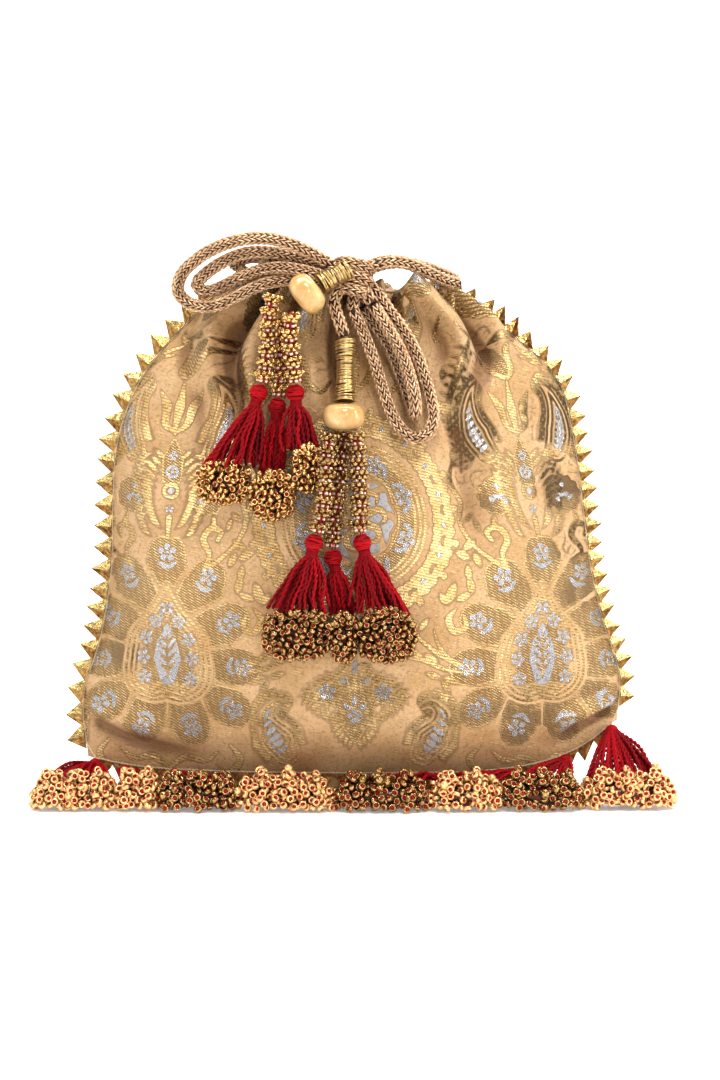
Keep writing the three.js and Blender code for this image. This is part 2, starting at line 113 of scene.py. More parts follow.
class Wire:
    def __init__(self, paint, socket):
        self.paint = paint
        self.socket = socket

    def join(self, operation, first, second):
        return self.paint.node("ShaderNodeMath", {"operation": operation}, {0: first, 1: second})

    def __add__(self, other):
        return self.join("ADD", self, other)

    def __sub__(self, other):
        return self.join("SUBTRACT", self, other)

    def __mul__(self, other):
        return self.join("MULTIPLY", self, other)

    def __pow__(self, other):
        return self.join("POWER", self, other)

    def __radd__(self, other):
        return self.join("ADD", other, self)

    def __rsub__(self, other):
        return self.join("SUBTRACT", other, self)

    def __rmul__(self, other):
        return self.join("MULTIPLY", other, self)

    def clip(self):                      # kept from 0 to 1
        return self.paint.node("ShaderNodeClamp", {}, {"Value": self, "Min": 0.0, "Max": 1.0})

    def ramp(self, low, high):       # 0 below low, 1 above high, smooth between
        settings = {"interpolation_type": "SMOOTHSTEP"}
        return self.paint.node("ShaderNodeMapRange", settings, {"Value": self, 1: low, 2: high})

    def sine(self):
        return self.join("SINE", self, 0.0)

    def cosine(self):
        return self.join("COSINE", self, 0.0)

    def absolute(self):
        return self.join("ABSOLUTE", self, 0.0)

    def most(self, other):
        return self.join("MAXIMUM", self, other)

    def least(self, other):
        return self.join("MINIMUM", self, other)


class Paint:
    def __init__(self, name):
        self.material = bpy.data.materials.new(name)
        self.material.use_nodes = True
        self.tree = self.material.node_tree
        self.shader = self.tree.nodes["Principled BSDF"]

    def node(self, kind, settings, inputs, output=0):
        made = self.tree.nodes.new(kind)
        for key, value in settings.items():
            setattr(made, key, value)
        for key, value in inputs.items():
            self.feed(made.inputs[key], value)
        return Wire(self, made.outputs[output])

    def feed(self, socket, value):
        if isinstance(value, Wire):
            self.tree.links.new(value.socket, socket)
        elif isinstance(value, tuple) and len(value) == 3 and socket.type == "RGBA":
            socket.default_value = (*value, 1)
        else:
            socket.default_value = value

    def blend(self, share, under, over):
        return self.node("ShaderNodeMix", {"data_type": "RGBA"}, {0: share, 6: under, 7: over}, 2)

    def read(self, name, output="Fac"):
        return self.node("ShaderNodeAttribute", {"attribute_name": name}, {}, output)

    def split(self, vector, axis):       # one part of a vector
        return self.node("ShaderNodeSeparateXYZ", {}, {0: vector}, axis)

    def place(self, scale):
        spot = self.node("ShaderNodeTexCoord", {}, {}, "Object")
        return self.node("ShaderNodeVectorMath", {"operation": "SCALE"}, {0: spot, "Scale": scale})

    def noise(self, spot, scale, detail=2.0, rough=0.5):
        inputs = {"Vector": spot, "Scale": scale, "Detail": detail, "Roughness": rough}
        return self.node("ShaderNodeTexNoise", {}, inputs, "Fac")

    def bump(self, height, strength, distance):
        inputs = {"Height": height, "Strength": strength, "Distance": distance}
        return self.node("ShaderNodeBump", {}, inputs)

    def finish(self, **sockets):
        for name, value in sockets.items():
            self.feed(self.shader.inputs[socketNames[name]], value)
        return self.material


socketNames = {
    "colour": "Base Color", "rough": "Roughness", "metal": "Metallic", "normal": "Normal",
    "sheen": "Sheen Weight", "sheenRough": "Sheen Roughness", "coat": "Coat Weight",
    "coatRough": "Coat Roughness", "scatter": "Subsurface Weight", "scatterRadius": "Subsurface Radius",
    "scatterScale": "Subsurface Scale", "specular": "Specular IOR Level",
    "glow": "Emission Color", "glowStrength": "Emission Strength",
}


# mesh helpers

class Heap:                           # gathers many small meshes into one piece
    def __init__(self):
        self.points = []
        self.quads = []
        self.tris = []
        self.marks = []
        self.count = 0

    def add(self, points, quads=None, tris=None, mark=0.0):
        points = np.asarray(points, float)
        if quads is not None and len(quads):
            self.quads.append(np.asarray(quads) + self.count)
        if tris is not None and len(tris):
            self.tris.append(np.asarray(tris) + self.count)
        self.points.append(points)
        self.marks.append(np.full(len(points), mark) if np.isscalar(mark) else np.asarray(mark))
        self.count += len(points)

    def build(self, name, material, smooth=True):
        return meshPiece(name, np.vstack(self.points), self.quads, self.tris, material,
                         {"mark": np.concatenate(self.marks)}, smooth)


def meshPiece(name, points, quadSets, triSets, material, attributes=None, smooth=True):
    quads = np.vstack(quadSets) if len(quadSets) else np.zeros((0, 4), int)
    tris = np.vstack(triSets) if len(triSets) else np.zeros((0, 3), int)
    corners = np.concatenate([quads.ravel(), tris.ravel()]).astype(np.int32)
    sizes = np.concatenate([np.full(len(quads), 4), np.full(len(tris), 3)]).astype(np.int32)
    mesh = bpy.data.meshes.new(name)
    mesh.vertices.add(len(points))
    mesh.vertices.foreach_set("co", placeOf(points).astype(np.float32).ravel())
    mesh.loops.add(len(corners))
    mesh.loops.foreach_set("vertex_index", corners)
    mesh.polygons.add(len(sizes))
    mesh.polygons.foreach_set("loop_start", np.concatenate([[0], np.cumsum(sizes)[:-1]]).astype(np.int32))
    mesh.update(calc_edges=True)
    mesh.validate()
    mesh.polygons.foreach_set("use_smooth", np.full(len(sizes), smooth))
    for key, values in (attributes or {}).items():
        values = np.asarray(values, np.float32)
        kind = "FLOAT" if values.ndim == 1 else "FLOAT_VECTOR"
        layer = mesh.attributes.new(key, kind, "POINT")
        layer.data.foreach_set("value" if kind == "FLOAT" else "vector", values.ravel())
    mesh.materials.append(material)
    piece = bpy.data.objects.new(name, mesh)
    bpy.context.scene.collection.objects.link(piece)
    return piece


def circle(count):                    # angles evenly round a turn
    return np.arange(count) * 2 * math.pi / count


def spun(profile, around):            # a profile of radius and height turned about Z
    angle = circle(around)
    return np.stack([np.outer(profile[:, 0], np.cos(angle)), np.outer(profile[:, 0], np.sin(angle)),
                     np.repeat(profile[:, 1:], around, 1)], 2).reshape(-1, 3)


def runOf(line):                      # the length run at each point of a line
    return np.concatenate([[0], np.cumsum(np.linalg.norm(np.diff(line, axis=0), axis=1))])


def atRun(run, values, s):            # X, Y and Z read at a length along the run
    return np.stack([np.interp(s, run, values[:, k]) for k in range(3)], -1)


def gridQuads(rows, columns, closed=False):
    r, c = np.meshgrid(np.arange(rows - 1), np.arange(columns if closed else columns - 1), indexing="ij")
    r, c = r.ravel(), c.ravel()
    n = (c + 1) % columns
    return np.stack([r * columns + c, r * columns + n, (r + 1) * columns + n, (r + 1) * columns + c], 1)


def splineAt(points, t):              # centripetal Catmull-Rom through the points, t from 0 to 1
    points = np.asarray(points, float)
    t = np.atleast_1d(np.asarray(t, float))
    last = len(points) - 1
    spot = np.clip(t, 0, 1) * last
    k = np.minimum(spot.astype(int), last - 1)
    w = (spot - k)[:, None]
    padded = np.vstack([2 * points[0] - points[1], points, 2 * points[-1] - points[-2]])
    p0, p1, p2, p3 = padded[k], padded[k + 1], padded[k + 2], padded[k + 3]
    d0, d1, d2 = (np.maximum(np.linalg.norm(b - a, axis=1), 1e-4)[:, None] ** 0.5
                  for a, b in ((p0, p1), (p1, p2), (p2, p3)))
    m1 = ((p1 - p0) / d0 - (p2 - p0) / (d0 + d1) + (p2 - p1) / d1) * d1
    m2 = ((p2 - p1) / d1 - (p3 - p1) / (d1 + d2) + (p3 - p2) / d2) * d1
    return ((2 * w**3 - 3 * w**2 + 1) * p1 + (w**3 - 2 * w**2 + w) * m1
            + (3 * w**2 - 2 * w**3) * p2 + (w**3 - w**2) * m2)


def evenPath(points, step):           # points a step apart along the spline, and its length
    fine = splineAt(points, np.linspace(0, 1, 60 * len(points)))
    run = runOf(fine)
    count = max(2, int(round(run[-1] / step)) + 1)
    return atRun(run, fine, np.linspace(0, run[-1], count)), run[-1]


def framesAlong(path):                # a side and an up direction carried along the path without twist
    tangent = np.gradient(path, axis=0)
    tangent /= np.linalg.norm(tangent, axis=1)[:, None]
    side = np.zeros_like(path)
    start = np.array([0, 1.0, 0]) if abs(tangent[0][1]) < 0.9 else np.array([1.0, 0, 0])
    side[0] = start - tangent[0] * start.dot(tangent[0])
    side[0] /= np.linalg.norm(side[0])
    for k in range(1, len(path)):
        carried = side[k - 1] - tangent[k] * side[k - 1].dot(tangent[k])
        side[k] = carried / np.linalg.norm(carried)
    return tangent, side, np.cross(tangent, side)


def tubeAlong(heap, path, radius, sides=6, mark=0.0, caps=True):
    path = np.asarray(path, float)
    _, side, up = framesAlong(path)
    angle = circle(sides)
    radius = np.broadcast_to(np.asarray(radius, float), (len(path),))[:, None, None]
    ring = side[:, None] * np.cos(angle)[:, None] + up[:, None] * np.sin(angle)[:, None]
    points = (path[:, None] + ring * radius).reshape(-1, 3)
    tris = None
    if caps:
        points = np.vstack([points, path[0], path[-1]])
        first, last, top = len(points) - 2, len(points) - 1, (len(path) - 1) * sides
        turn = [(k, (k + 1) % sides) for k in range(sides)]
        tris = [(first, b, a) for a, b in turn] + [(last, top + a, top + b) for a, b in turn]
    heap.add(points, gridQuads(len(path), sides, closed=True), tris, mark)


def turned(direction, roll=0.0):      # a rotation that takes Z to the direction
    z = np.asarray(direction, float)
    z = z / np.linalg.norm(z)
    x = np.cross([0, 1.0, 0.01], z)
    x /= np.linalg.norm(x)
    y = np.cross(z, x)
    c, s = math.cos(roll), math.sin(roll)
    return np.stack([c * x + s * y, -s * x + c * y, z], 1)


def beadShape(outer, hole, height, around, profile):
    angle = (np.arange(profile) + 0.5) * 2 * math.pi / profile
    middle, half = (outer + hole) / 2, (outer - hole) / 2
    r = middle + half * np.cos(angle)
    z = height / 2 * np.sin(angle)
    turn = circle(around)
    points = np.stack([r[None] * np.cos(turn)[:, None], r[None] * np.sin(turn)[:, None],
                       np.broadcast_to(z, (around, profile))], 2).reshape(-1, 3)
    ring, step = np.meshgrid(np.arange(around), np.arange(profile), indexing="ij")
    ring, step = ring.ravel(), step.ravel()
    nextRing, nextStep = (ring + 1) % around, (step + 1) % profile
    quads = np.stack([ring * profile + step, nextRing * profile + step,
                      nextRing * profile + nextStep, ring * profile + nextStep], 1)
    return points, quads


def ballShape(radius, around, rows):
    heap = Heap()
    stations = np.linspace(0.12, math.pi - 0.12, rows)
    points = spun(np.stack([np.sin(stations), -np.cos(stations)], 1), around) * radius
    last = (rows - 1) * around
    heap.add(points, gridQuads(rows, around, closed=True),
             [(0, k + 1, k) for k in range(1, around - 1)]
             + [(last, last + k, last + k + 1) for k in range(1, around - 1)])
    return points, heap.quads[0], heap.tris[0]


def loftShape(heap, start, end, stations, sides, mark):
    start, end = np.asarray(start, float), np.asarray(end, float)
    axis = end - start
    along = axis / np.linalg.norm(axis)
    depth = np.array([0, 1.0, 0]) - along * along[1]
    depth /= np.linalg.norm(depth)
    width = np.cross(depth, along)
    angle = (np.arange(sides) + 0.5) * 2 * math.pi / sides
    rings = []
    for share, halfWidth, halfDepth in stations:
        rings.append(start + axis * share + np.outer(np.cos(angle), width) * halfWidth
                     + np.outer(np.sin(angle), depth) * halfDepth)
    last = (len(stations) - 1) * sides
    tris = [(0, k + 1, k) for k in range(1, sides - 1)]
    tris += [(last, last + k, last + k + 1) for k in range(1, sides - 1)]
    heap.add(np.vstack(rings), gridQuads(len(stations), sides, closed=True), tris, mark)


def roundStations(halfWidth, halfDepth, count, blunt=1.0):
    angle = math.pi * (np.arange(count + 1) + 0.35) / (count + 0.7)
    size = np.sin(angle) ** blunt
    return [((1 - math.cos(a)) / 2, halfWidth * s, halfDepth * s) for a, s in zip(angle, size)]


def settle(piece, node):
    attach(piece, "root")
    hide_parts(node)
    return piece


# pouch: the same seams and middle lines as the construction, with the cloth's folds added

pouch = {
    "leftSeam": [(-109, -4, 16), (-111, -1, 40), (-104, 0, 64), (-99.3, 0, 92), (-98.4, 0, 120),
                 (-96, 0, 146), (-86, 0, 171), (-68, 0, 192), (-46, 0, 213)],
    "rightSeam": [(107, -3, 31), (107.8, -1, 50), (101.5, 0, 70), (95.8, 0, 94), (92.4, 0, 120),
                  (88.6, 0, 146), (82, 0, 169.5), (64, 0, 187), (40, 0, 204)],
    "bottomSeam": [(-109, -4, 16), (-88, -13, 13.5), (-60, -18, 12.5), (-20, -20, 12), (20, -20, 12),
                   (50, -19, 12.5), (72, -16.5, 15), (90, -11, 20.5), (107, -3, 31)],
    "frontMiddle": [(0, -20, 12), (0.125, -33, 33), (0.25, -38.5, 60), (0.375, -38.5, 90),
                    (0.5, -35, 118), (0.625, -30, 145), (0.75, -24, 170), (0.875, -18, 191), (1, -13, 209)],
    "backMiddle": [(0, -20, 12), (0.05, -14, 0), (0.15, 18, -3), (0.22, 31, 12), (0.3, 37, 40),
                   (0.42, 38, 80), (0.55, 34, 118), (0.7, 26, 155), (0.85, 17, 187), (1, 11, 208)],
    "seamPull": 1.7,
    "fullness": 2.4,
    "frontGrid": (288, 230),
    "backGrid": (190, 160),
    "liningGrid": (60, 44),
    "liningDepth": (3.4, 10.0),   # behind the cloth, low down and near the mouth
    "hemDepth": 16.0,         # the casing turned in at the mouth
    "hemRows": 9,
    "foldDepth": 1.35,        # how much of each fold's height is taken
    "foldFade": 0.45,         # the share of a fold's length that it dies away over
    "gatherHeight": 2.7,
    "gatherStart": 0.74,      # how far up the cloth the fine pleats begin
    "waveHeight": 0.16,
}


def alongStations(stations, t):
    s = np.asarray(stations, float)
    k = np.clip(np.searchsorted(s[:, 0], t, side="left") - 1, 0, len(s) - 2)
    before, start, end, after = s[np.maximum(k - 1, 0)], s[k], s[k + 1], s[np.minimum(k + 2, len(s) - 1)]
    span = end[:, 0] - start[:, 0]
    h = (t - start[:, 0]) / span
    out = []
    for c in (1, 2):
        m1 = (end[:, c] - before[:, c]) / (end[:, 0] - before[:, 0]) * span
        m2 = (after[:, c] - start[:, c]) / (after[:, 0] - start[:, 0]) * span
        out.append((2 * h**3 - 3 * h**2 + 1) * start[:, c] + (h**3 - 2 * h**2 + h) * m1
                   + (3 * h**2 - 2 * h**3) * end[:, c] + (h**3 - h**2) * m2)
    return out


def pouchPoint(middle, across, up, inset=0.0):
    u = (across + 1) / 2
    left, right = splineAt(pouch["leftSeam"], up), splineAt(pouch["rightSeam"], up)
    mid = (left + right) / 2
    left[:, 0] += pouch["seamPull"] * inset
    right[:, 0] -= pouch["seamPull"] * inset
    point = left + (right - left) * u[:, None]
    corners = np.asarray(pouch["leftSeam"][0], float), np.asarray(pouch["rightSeam"][0], float)
    share = np.maximum(0, 1 - up / 0.5)[:, None] ** 2
    sag = splineAt(pouch["bottomSeam"], u) - (corners[0] + (corners[1] - corners[0]) * u[:, None])
    point += sag * share
    point[:, 2] += inset * share[:, 0]
    mid += (splineAt(pouch["bottomSeam"], 0.5) - (corners[0] + corners[1]) / 2) * share
    y, z = alongStations(middle, up)
    crown = np.maximum(0, 1 - np.abs(across) ** pouch["fullness"]) ** 0.8
    depth = y - mid[:, 1]
    point[:, 1] += crown * np.maximum(0, np.abs(depth) - inset) * np.sign(depth)
    point[:, 2] += crown * (z - mid[:, 2])
    point[:, 2] = np.maximum(point[:, 2], inset)
    return point


def nearLine(x, z, line):             # distance to a bent line, and how far along it (0 to 1)
    line = np.asarray(line, float)
    best, where = np.full(x.shape, 1e9), np.zeros(x.shape)
    run = runOf(line)
    for a, b, start in zip(line[:-1], line[1:], run):
        dx, dz = b[0] - a[0], b[1] - a[1]
        t = np.clip(((x - a[0]) * dx + (z - a[1]) * dz) / (dx * dx + dz * dz + 1e-9), 0, 1)
        d = np.hypot(x - a[0] - t * dx, z - a[1] - t * dz)
        side = np.sign((x - a[0]) * dz - (z - a[1]) * dx)
        closer = d < np.abs(best)
        best = np.where(closer, np.where(side == 0, 1, side) * d, best)
        where = np.where(closer, (start + t * math.hypot(dx, dz)) / run[-1], where)
    return best, where


def curved(points, count=24):         # a smooth bent line through a few X and Z points
    flat = np.asarray([(x, 0, z) for x, z in points], float)
    return splineAt(flat, np.linspace(0, 1, count))[:, [0, 2]]


# each fold: the line it runs along (X, Z), its height, its width left and right of the line
frontFolds = [
    ([(-34, 213), (-46, 201), (-55, 189), (-56.5, 177), (-53, 164), (-57, 144)], 6.6, 3.0, 7.0),
    ([(-30, 208), (-40, 197), (-48.5, 185), (-49.5, 174), (-46, 163), (-49, 150)], -6.4, 2.8, 3.4),
    ([(-26, 208), (-36, 194), (-41, 178), (-39, 160), (-42, 140)], 4.2, 4.0, 4.4),
    ([(-18, 208), (-27, 192), (-30, 176), (-28, 156)], -4.6, 2.8, 3.2),
    ([(-10, 208), (-17, 194), (-18, 178), (-15, 158), (-14, 140)], 3.2, 4.4, 4.0),
    ([(-4, 206), (-8, 190), (-8, 172), (-5, 152)], -4.0, 2.8, 3.0),
    ([(6, 208), (4, 192), (8, 170), (10, 146)], 2.8, 4.0, 3.6),
    ([(14, 206), (17, 192), (23, 176), (30, 158)], -4.4, 2.4, 3.0),
    ([(18, 208), (27, 199), (36, 190), (41, 180), (40, 170), (44, 150)], 7.6, 4.4, 3.6),
    ([(24, 210), (36, 202), (46, 192), (52, 180), (50, 164)], -6.4, 3.0, 2.6),
    ([(29, 211), (44, 201), (56, 189), (61, 174), (58, 158)], 4.0, 4.0, 3.6),
    ([(33, 211), (50, 200), (62, 187), (69, 172)], -4.2, 3.0, 2.8),
    ([(36, 210), (54, 199), (68, 187), (77, 172), (80, 154)], 2.8, 4.0, 5.0),
    ([(-38, 213), (-55, 202), (-68, 187), (-72, 170)], -4.2, 3.2, 3.6),
    ([(-41, 213), (-60, 199), (-76, 181), (-82, 160)], 3.0, 4.4, 6.0),
    ([(52, 150), (58, 120), (62, 92), (66, 66)], 1.7, 8.0, 6.0),
    ([(40, 148), (45, 120), (48, 96)], -1.6, 6.0, 6.0),
    ([(-84, 150), (-82, 120), (-84, 90)], 1.5, 7.0, 7.0),
    ([(-62, 160), (-60, 130), (-62, 100)], -1.5, 6.0, 6.0),
    ([(107, 44), (98, 39), (86, 33), (76, 24)], 3.4, 3.6, 3.4),
    ([(106, 35), (95, 31), (84, 26), (76, 20)], -2.6, 3.0, 3.0),
    ([(-106, 38), (-94, 32), (-78, 28), (-58, 27)], 2.0, 5.0, 4.0),
    ([(-104, 30), (-90, 25), (-76, 22), (-56, 20)], -1.8, 4.0, 4.0),
]
backFolds = [
    ([(-30, 212), (-40, 196), (-46, 172), (-44, 140)], 4.4, 5.0, 6.0),
    ([(-20, 210), (-27, 190), (-28, 160)], -4.0, 4.0, 4.5),
    ([(-8, 209), (-12, 188), (-10, 156), (-6, 120)], 3.8, 5.0, 5.5),
    ([(2, 208), (2, 188), (6, 164)], -3.6, 4.0, 4.0),
    ([(12, 208), (18, 188), (22, 158), (24, 126)], 4.4, 5.0, 5.0),
    ([(22, 207), (34, 190), (42, 164)], -4.0, 4.0, 5.0),
    ([(32, 206), (50, 188), (62, 160), (66, 130)], 4.0, 5.0, 6.0),
    ([(-40, 212), (-60, 192), (-72, 164)], -2.6, 5.0, 6.0),
    ([(-70, 110), (-30, 80), (20, 74)], 1.2, 14.0, 12.0),
    ([(80, 70), (50, 46), (10, 38)], 1.4, 10.0, 12.0),
]


def foldHeight(x, z, folds):
    total = np.zeros_like(x)
    for line, height, wideLeft, wideRight in folds:
        d, along = nearLine(x, z, curved(line))
        width = np.where(d < 0, wideLeft, wideRight) * (0.75 + 0.7 * along)
        fade = np.clip((1.0 - along) / pouch["foldFade"], 0, 1) ** 1.2
        total += pouch["foldDepth"] * height * np.exp(-((d / width) ** 2)) * fade
    return total


def gathers(across, up, seed):        # the fine pleats that the drawcord pulls in at the mouth
    rng = np.random.default_rng(seed)
    near = np.clip((up - pouch["gatherStart"]) / (1 - pouch["gatherStart"]), 0, 1)
    wave = np.zeros_like(across)
    for k, strength in ((13, 1.0), (21, 0.6), (34, 0.35)):
        phase = rng.uniform(0, 6.28)
        drift = 0.5 * np.sin(3 * across + rng.uniform(0, 6.28))
        wave += strength * np.sin(k * across * 1.5 + phase + drift * k * 0.25 * (1 - up))
    return wave * near**1.4 * pouch["gatherHeight"]


def softWaves(x, z, seed):            # low, slow unevenness of stuffed cloth
    rng = np.random.default_rng(seed)
    total = np.zeros_like(x)
    for _ in range(7):
        angle, length = rng.uniform(-0.5, 0.5), rng.uniform(28, 62)
        place = x * math.cos(angle) + z * math.sin(angle)
        total += np.sin(place * 6.28 / length + rng.uniform(0, 6.28))
    return total * pouch["waveHeight"]


def clothSurface(side, across, up):   # the creased surface, the smooth one under it, and the lift
    front = side == "front"
    middle = pouch[side + "Middle"]
    smooth = pouchPoint(middle, across, up)
    nudge = 0.004
    right, left = np.clip(across + nudge, -1, 1), np.clip(across - nudge, -1, 1)
    above, below = np.clip(up + nudge, 0, 1), np.clip(up - nudge, 0, 1)
    du = pouchPoint(middle, right, up) - pouchPoint(middle, left, up)
    dv = pouchPoint(middle, across, above) - pouchPoint(middle, across, below)
    normal = np.cross(du, dv) * (1 if front else -1)
    normal /= np.linalg.norm(normal, axis=1)[:, None] + 1e-9
    edge = np.clip((1 - np.abs(across)) / 0.07, 0, 1) * np.clip(up / 0.05, 0, 1)
    edge = edge * edge * (3 - 2 * edge)
    x, z = smooth[:, 0], smooth[:, 2]
    lift = foldHeight(x, z, frontFolds if front else backFolds) + softWaves(x, z, 4 if front else 9)
    lift = lift * edge + gathers(across, up, 2 if front else 5) * np.sqrt(edge)
    resting = 1.0 if front else np.clip(z / 9, 0, 1)
    moved = smooth + normal * (lift * resting)[:, None]
    lip = np.clip((up - 0.93) / 0.07, 0, 1)
    crest = 3.2 * np.sin(across * 9 + 1.2) + 2.2 * np.sin(across * 23 + 0.4)
    moved[:, 2] += lip**2 * crest * np.sqrt(np.clip(1 - across**2, 0, 1))
    moved[:, 2] = np.maximum(moved[:, 2], 0.05)
    return moved, smooth, lift


def softened(grid, reach):            # each place's mean with its neighbours
    kernel = np.ones(2 * reach + 1) / (2 * reach + 1)
    for _ in range(2):
        for axis in (0, 1):
            padded = np.pad(grid, [(reach, reach) if k == axis else (0, 0) for k in (0, 1)], "edge")
            grid = np.apply_along_axis(np.convolve, axis, padded, kernel, "valid")
    return grid


# brocade: the woven figures, drawn on half of one mirrored repeat of the flat cloth

brocade = {
    "halfRepeat": 75.0,
    "rise": 168.0,            # the figures repeat after this much height
    "repeatTop": 184.0,       # above this the lower part of the repeat comes again
    "across": (-2.0, 77.01),  # what the drawing takes in
    "upward": (-14.0, 234.0),
    "step": 0.3,
    "threadPitch": 0.42,
    "medallion": (0, 116),
    "medallionRadius": 29.6,
    "wreath": 36.6,
    "wreathFlowers": 19,
    "pear": (75, 60),
    "petals": [(0, 99.2), (15.8, 90.4), (24.6, 74), (28.4, 56.6), (25.4, 40), (9.4, 32.6)],
    "hatchPitch": 1.05,
    "contourPitch": 2.05,
    "ribPitch": 1.15,         # the slanting floats inside each gold figure
    "filler": 0.5,            # how strongly small tendrils show between the figures
    "groundColour": (0.66, 0.45, 0.26),
    "groundShade": (0.53, 0.335, 0.16),
    "groundThread": (0.34, 0.20, 0.085),
    "goldColour": (1.0, 0.77, 0.42),
    "goldShade": (0.78, 0.54, 0.25),
    "goldThread": (0.24, 0.15, 0.055),
    "darkReflectionColour": (0.17, 0.105, 0.033),
    "darkReflectionShade": (0.085, 0.05, 0.016),
    "gapColour": (0.23, 0.135, 0.055),
    "silverColour": (0.63, 0.635, 0.66),
    "silverThread": (0.22, 0.20, 0.20),
    "paintedShadeColour": (0.17, 0.07, 0.025),
    "paintedShadeShare": 0.62,
}


class Loom:
    def __init__(self):
        step = brocade["step"]
        self.a, self.b = np.meshgrid(np.arange(*brocade["across"], step), np.arange(*brocade["upward"], step))
        self.gold, self.hatch, self.silver, self.contour = (self.blank() for _ in range(4))
        self.blooms = []

    def blank(self):                     # a field with nothing drawn: all of it is far outside
        return np.full(self.a.shape, -9.0)

    def spot(self, x, z, reach):
        step = brocade["step"]
        c, r = (x - brocade["across"][0]) / step, (z - brocade["upward"][0]) / step
        n = reach / step + 2
        rows = slice(max(0, int(r - n)), max(0, int(r + n)))
        columns = slice(max(0, int(c - n)), max(0, int(c + n)))
        return (rows, columns), self.a[rows, columns] - x, self.b[rows, columns] - z

    def lay(self, field, window, value):
        field[window] = np.maximum(field[window], value)

    def disc(self, field, x, z, radius):
        window, dx, dz = self.spot(x, z, radius + 2)
        self.lay(field, window, radius - np.hypot(dx, dz))

    def ring(self, field, x, z, radius, half):
        window, dx, dz = self.spot(x, z, radius + 2)
        self.lay(field, window, half - np.abs(np.hypot(dx, dz) - radius))

    def leaf(self, field, x, z, length, width, angle):
        window, dx, dz = self.spot(x, z, length)
        c, s = math.cos(angle), math.sin(angle)
        along, across = (dx * c + dz * s) / (length / 2), (dz * c - dx * s) / (width / 2)
        value = (1 - np.sqrt(np.abs(along) ** 1.6 + across**2)) * width / 2
        self.lay(field, window, value)

    def brush(self, field, points, widths):       # a stroke whose half width changes along it
        line = curved(points, 4 * len(points)) if len(points) > 2 else np.asarray(points, float)
        middle = line.mean(0)
        reach = np.abs(line - middle).max() + max(widths) + 2
        window, dx, dz = self.spot(*middle, reach)
        d, along = nearLine(dx + middle[0], dz + middle[1], line)
        self.lay(field, window, np.interp(along, np.linspace(0, 1, len(widths)), widths) - np.abs(d))

    def flower(self, x, z, size, turn=0.0):       # its petals are drawn by the shader
        self.blooms.append((x, z, size, turn))

    def squareFlower(self, x, z, size, turn):
        for k in range(4):
            angle = turn + math.pi / 4 + k * math.pi / 2
            away = size * 0.55
            self.disc(self.gold, x + away * math.cos(angle), z + away * math.sin(angle), size * 0.48)
        self.disc(self.silver, x, z, size * 0.2)


def drawMedallion(loom):
    x, z = brocade["medallion"]
    radius = brocade["medallionRadius"]
    window, dx, dz = loom.spot(x, z, radius + 8)
    rho, angle = np.hypot(dx, dz), np.arctan2(dz, dx)
    loom.lay(loom.contour, window, radius - rho)
    loom.lay(loom.hatch, window, np.minimum(radius - 4.0 - rho, rho - 17.8))
    scallop = 15.6 + 1.5 * np.abs(np.cos(4 * angle))
    loom.lay(loom.gold, window, 0.5 - np.abs(rho - scallop - 1.0))
    swirl = np.abs(np.sin(4 * angle + rho * 0.2))
    loom.lay(loom.silver, window, np.minimum(scallop - 0.8 - rho, (swirl - 0.42) * (1.5 + rho * 0.3)))
    for k in range(8):
        turn = math.pi / 8 + k * math.pi / 4
        loom.flower(x + 22.2 * math.cos(turn), z + 22.2 * math.sin(turn), 3.9, turn)
        for bend in (-0.17, 0.17):
            at = turn + math.pi / 8 + bend
            loom.leaf(loom.silver, x + 22 * math.cos(at), z + 22 * math.sin(at), 6.4, 2.1, at + 3.4 * bend)
    for k in range(brocade["wreathFlowers"]):
        turn = math.pi / 2 + k * 2 * math.pi / brocade["wreathFlowers"]
        reach = brocade["wreath"]
        loom.squareFlower(x + reach * math.cos(turn), z + reach * math.sin(turn), 5.4, turn)
        turn += math.pi / brocade["wreathFlowers"]
        for away, size in ((-2.6, 1.8), (2.4, 2.1), (5.4, 1.4)):
            far = reach + away
            loom.disc(loom.gold, x + far * math.cos(turn), z + far * math.sin(turn), size)


def medallionHeart(loom):              # gold leaves and curls over the silver middle
    x, z = brocade["medallion"]
    cut = loom.blank()
    for k in range(8):
        turn = k * math.pi / 4
        near = [(x + r * math.cos(turn + t), z + r * math.sin(turn + t))
                for r, t in ((4, 0), (7.5, 0.35), (11, 0.3), (12.4, -0.05), (10.6, -0.2))]
        loom.brush(cut, near, [0.9, 1.5, 1.1, 0.8, 0.4])
    loom.disc(cut, x, z, 3.6)
    loom.silver = np.minimum(loom.silver, -cut - 0.35)
    loom.gold = np.maximum(loom.gold, cut)
    loom.flower(x, z, 2.2, 0.3)


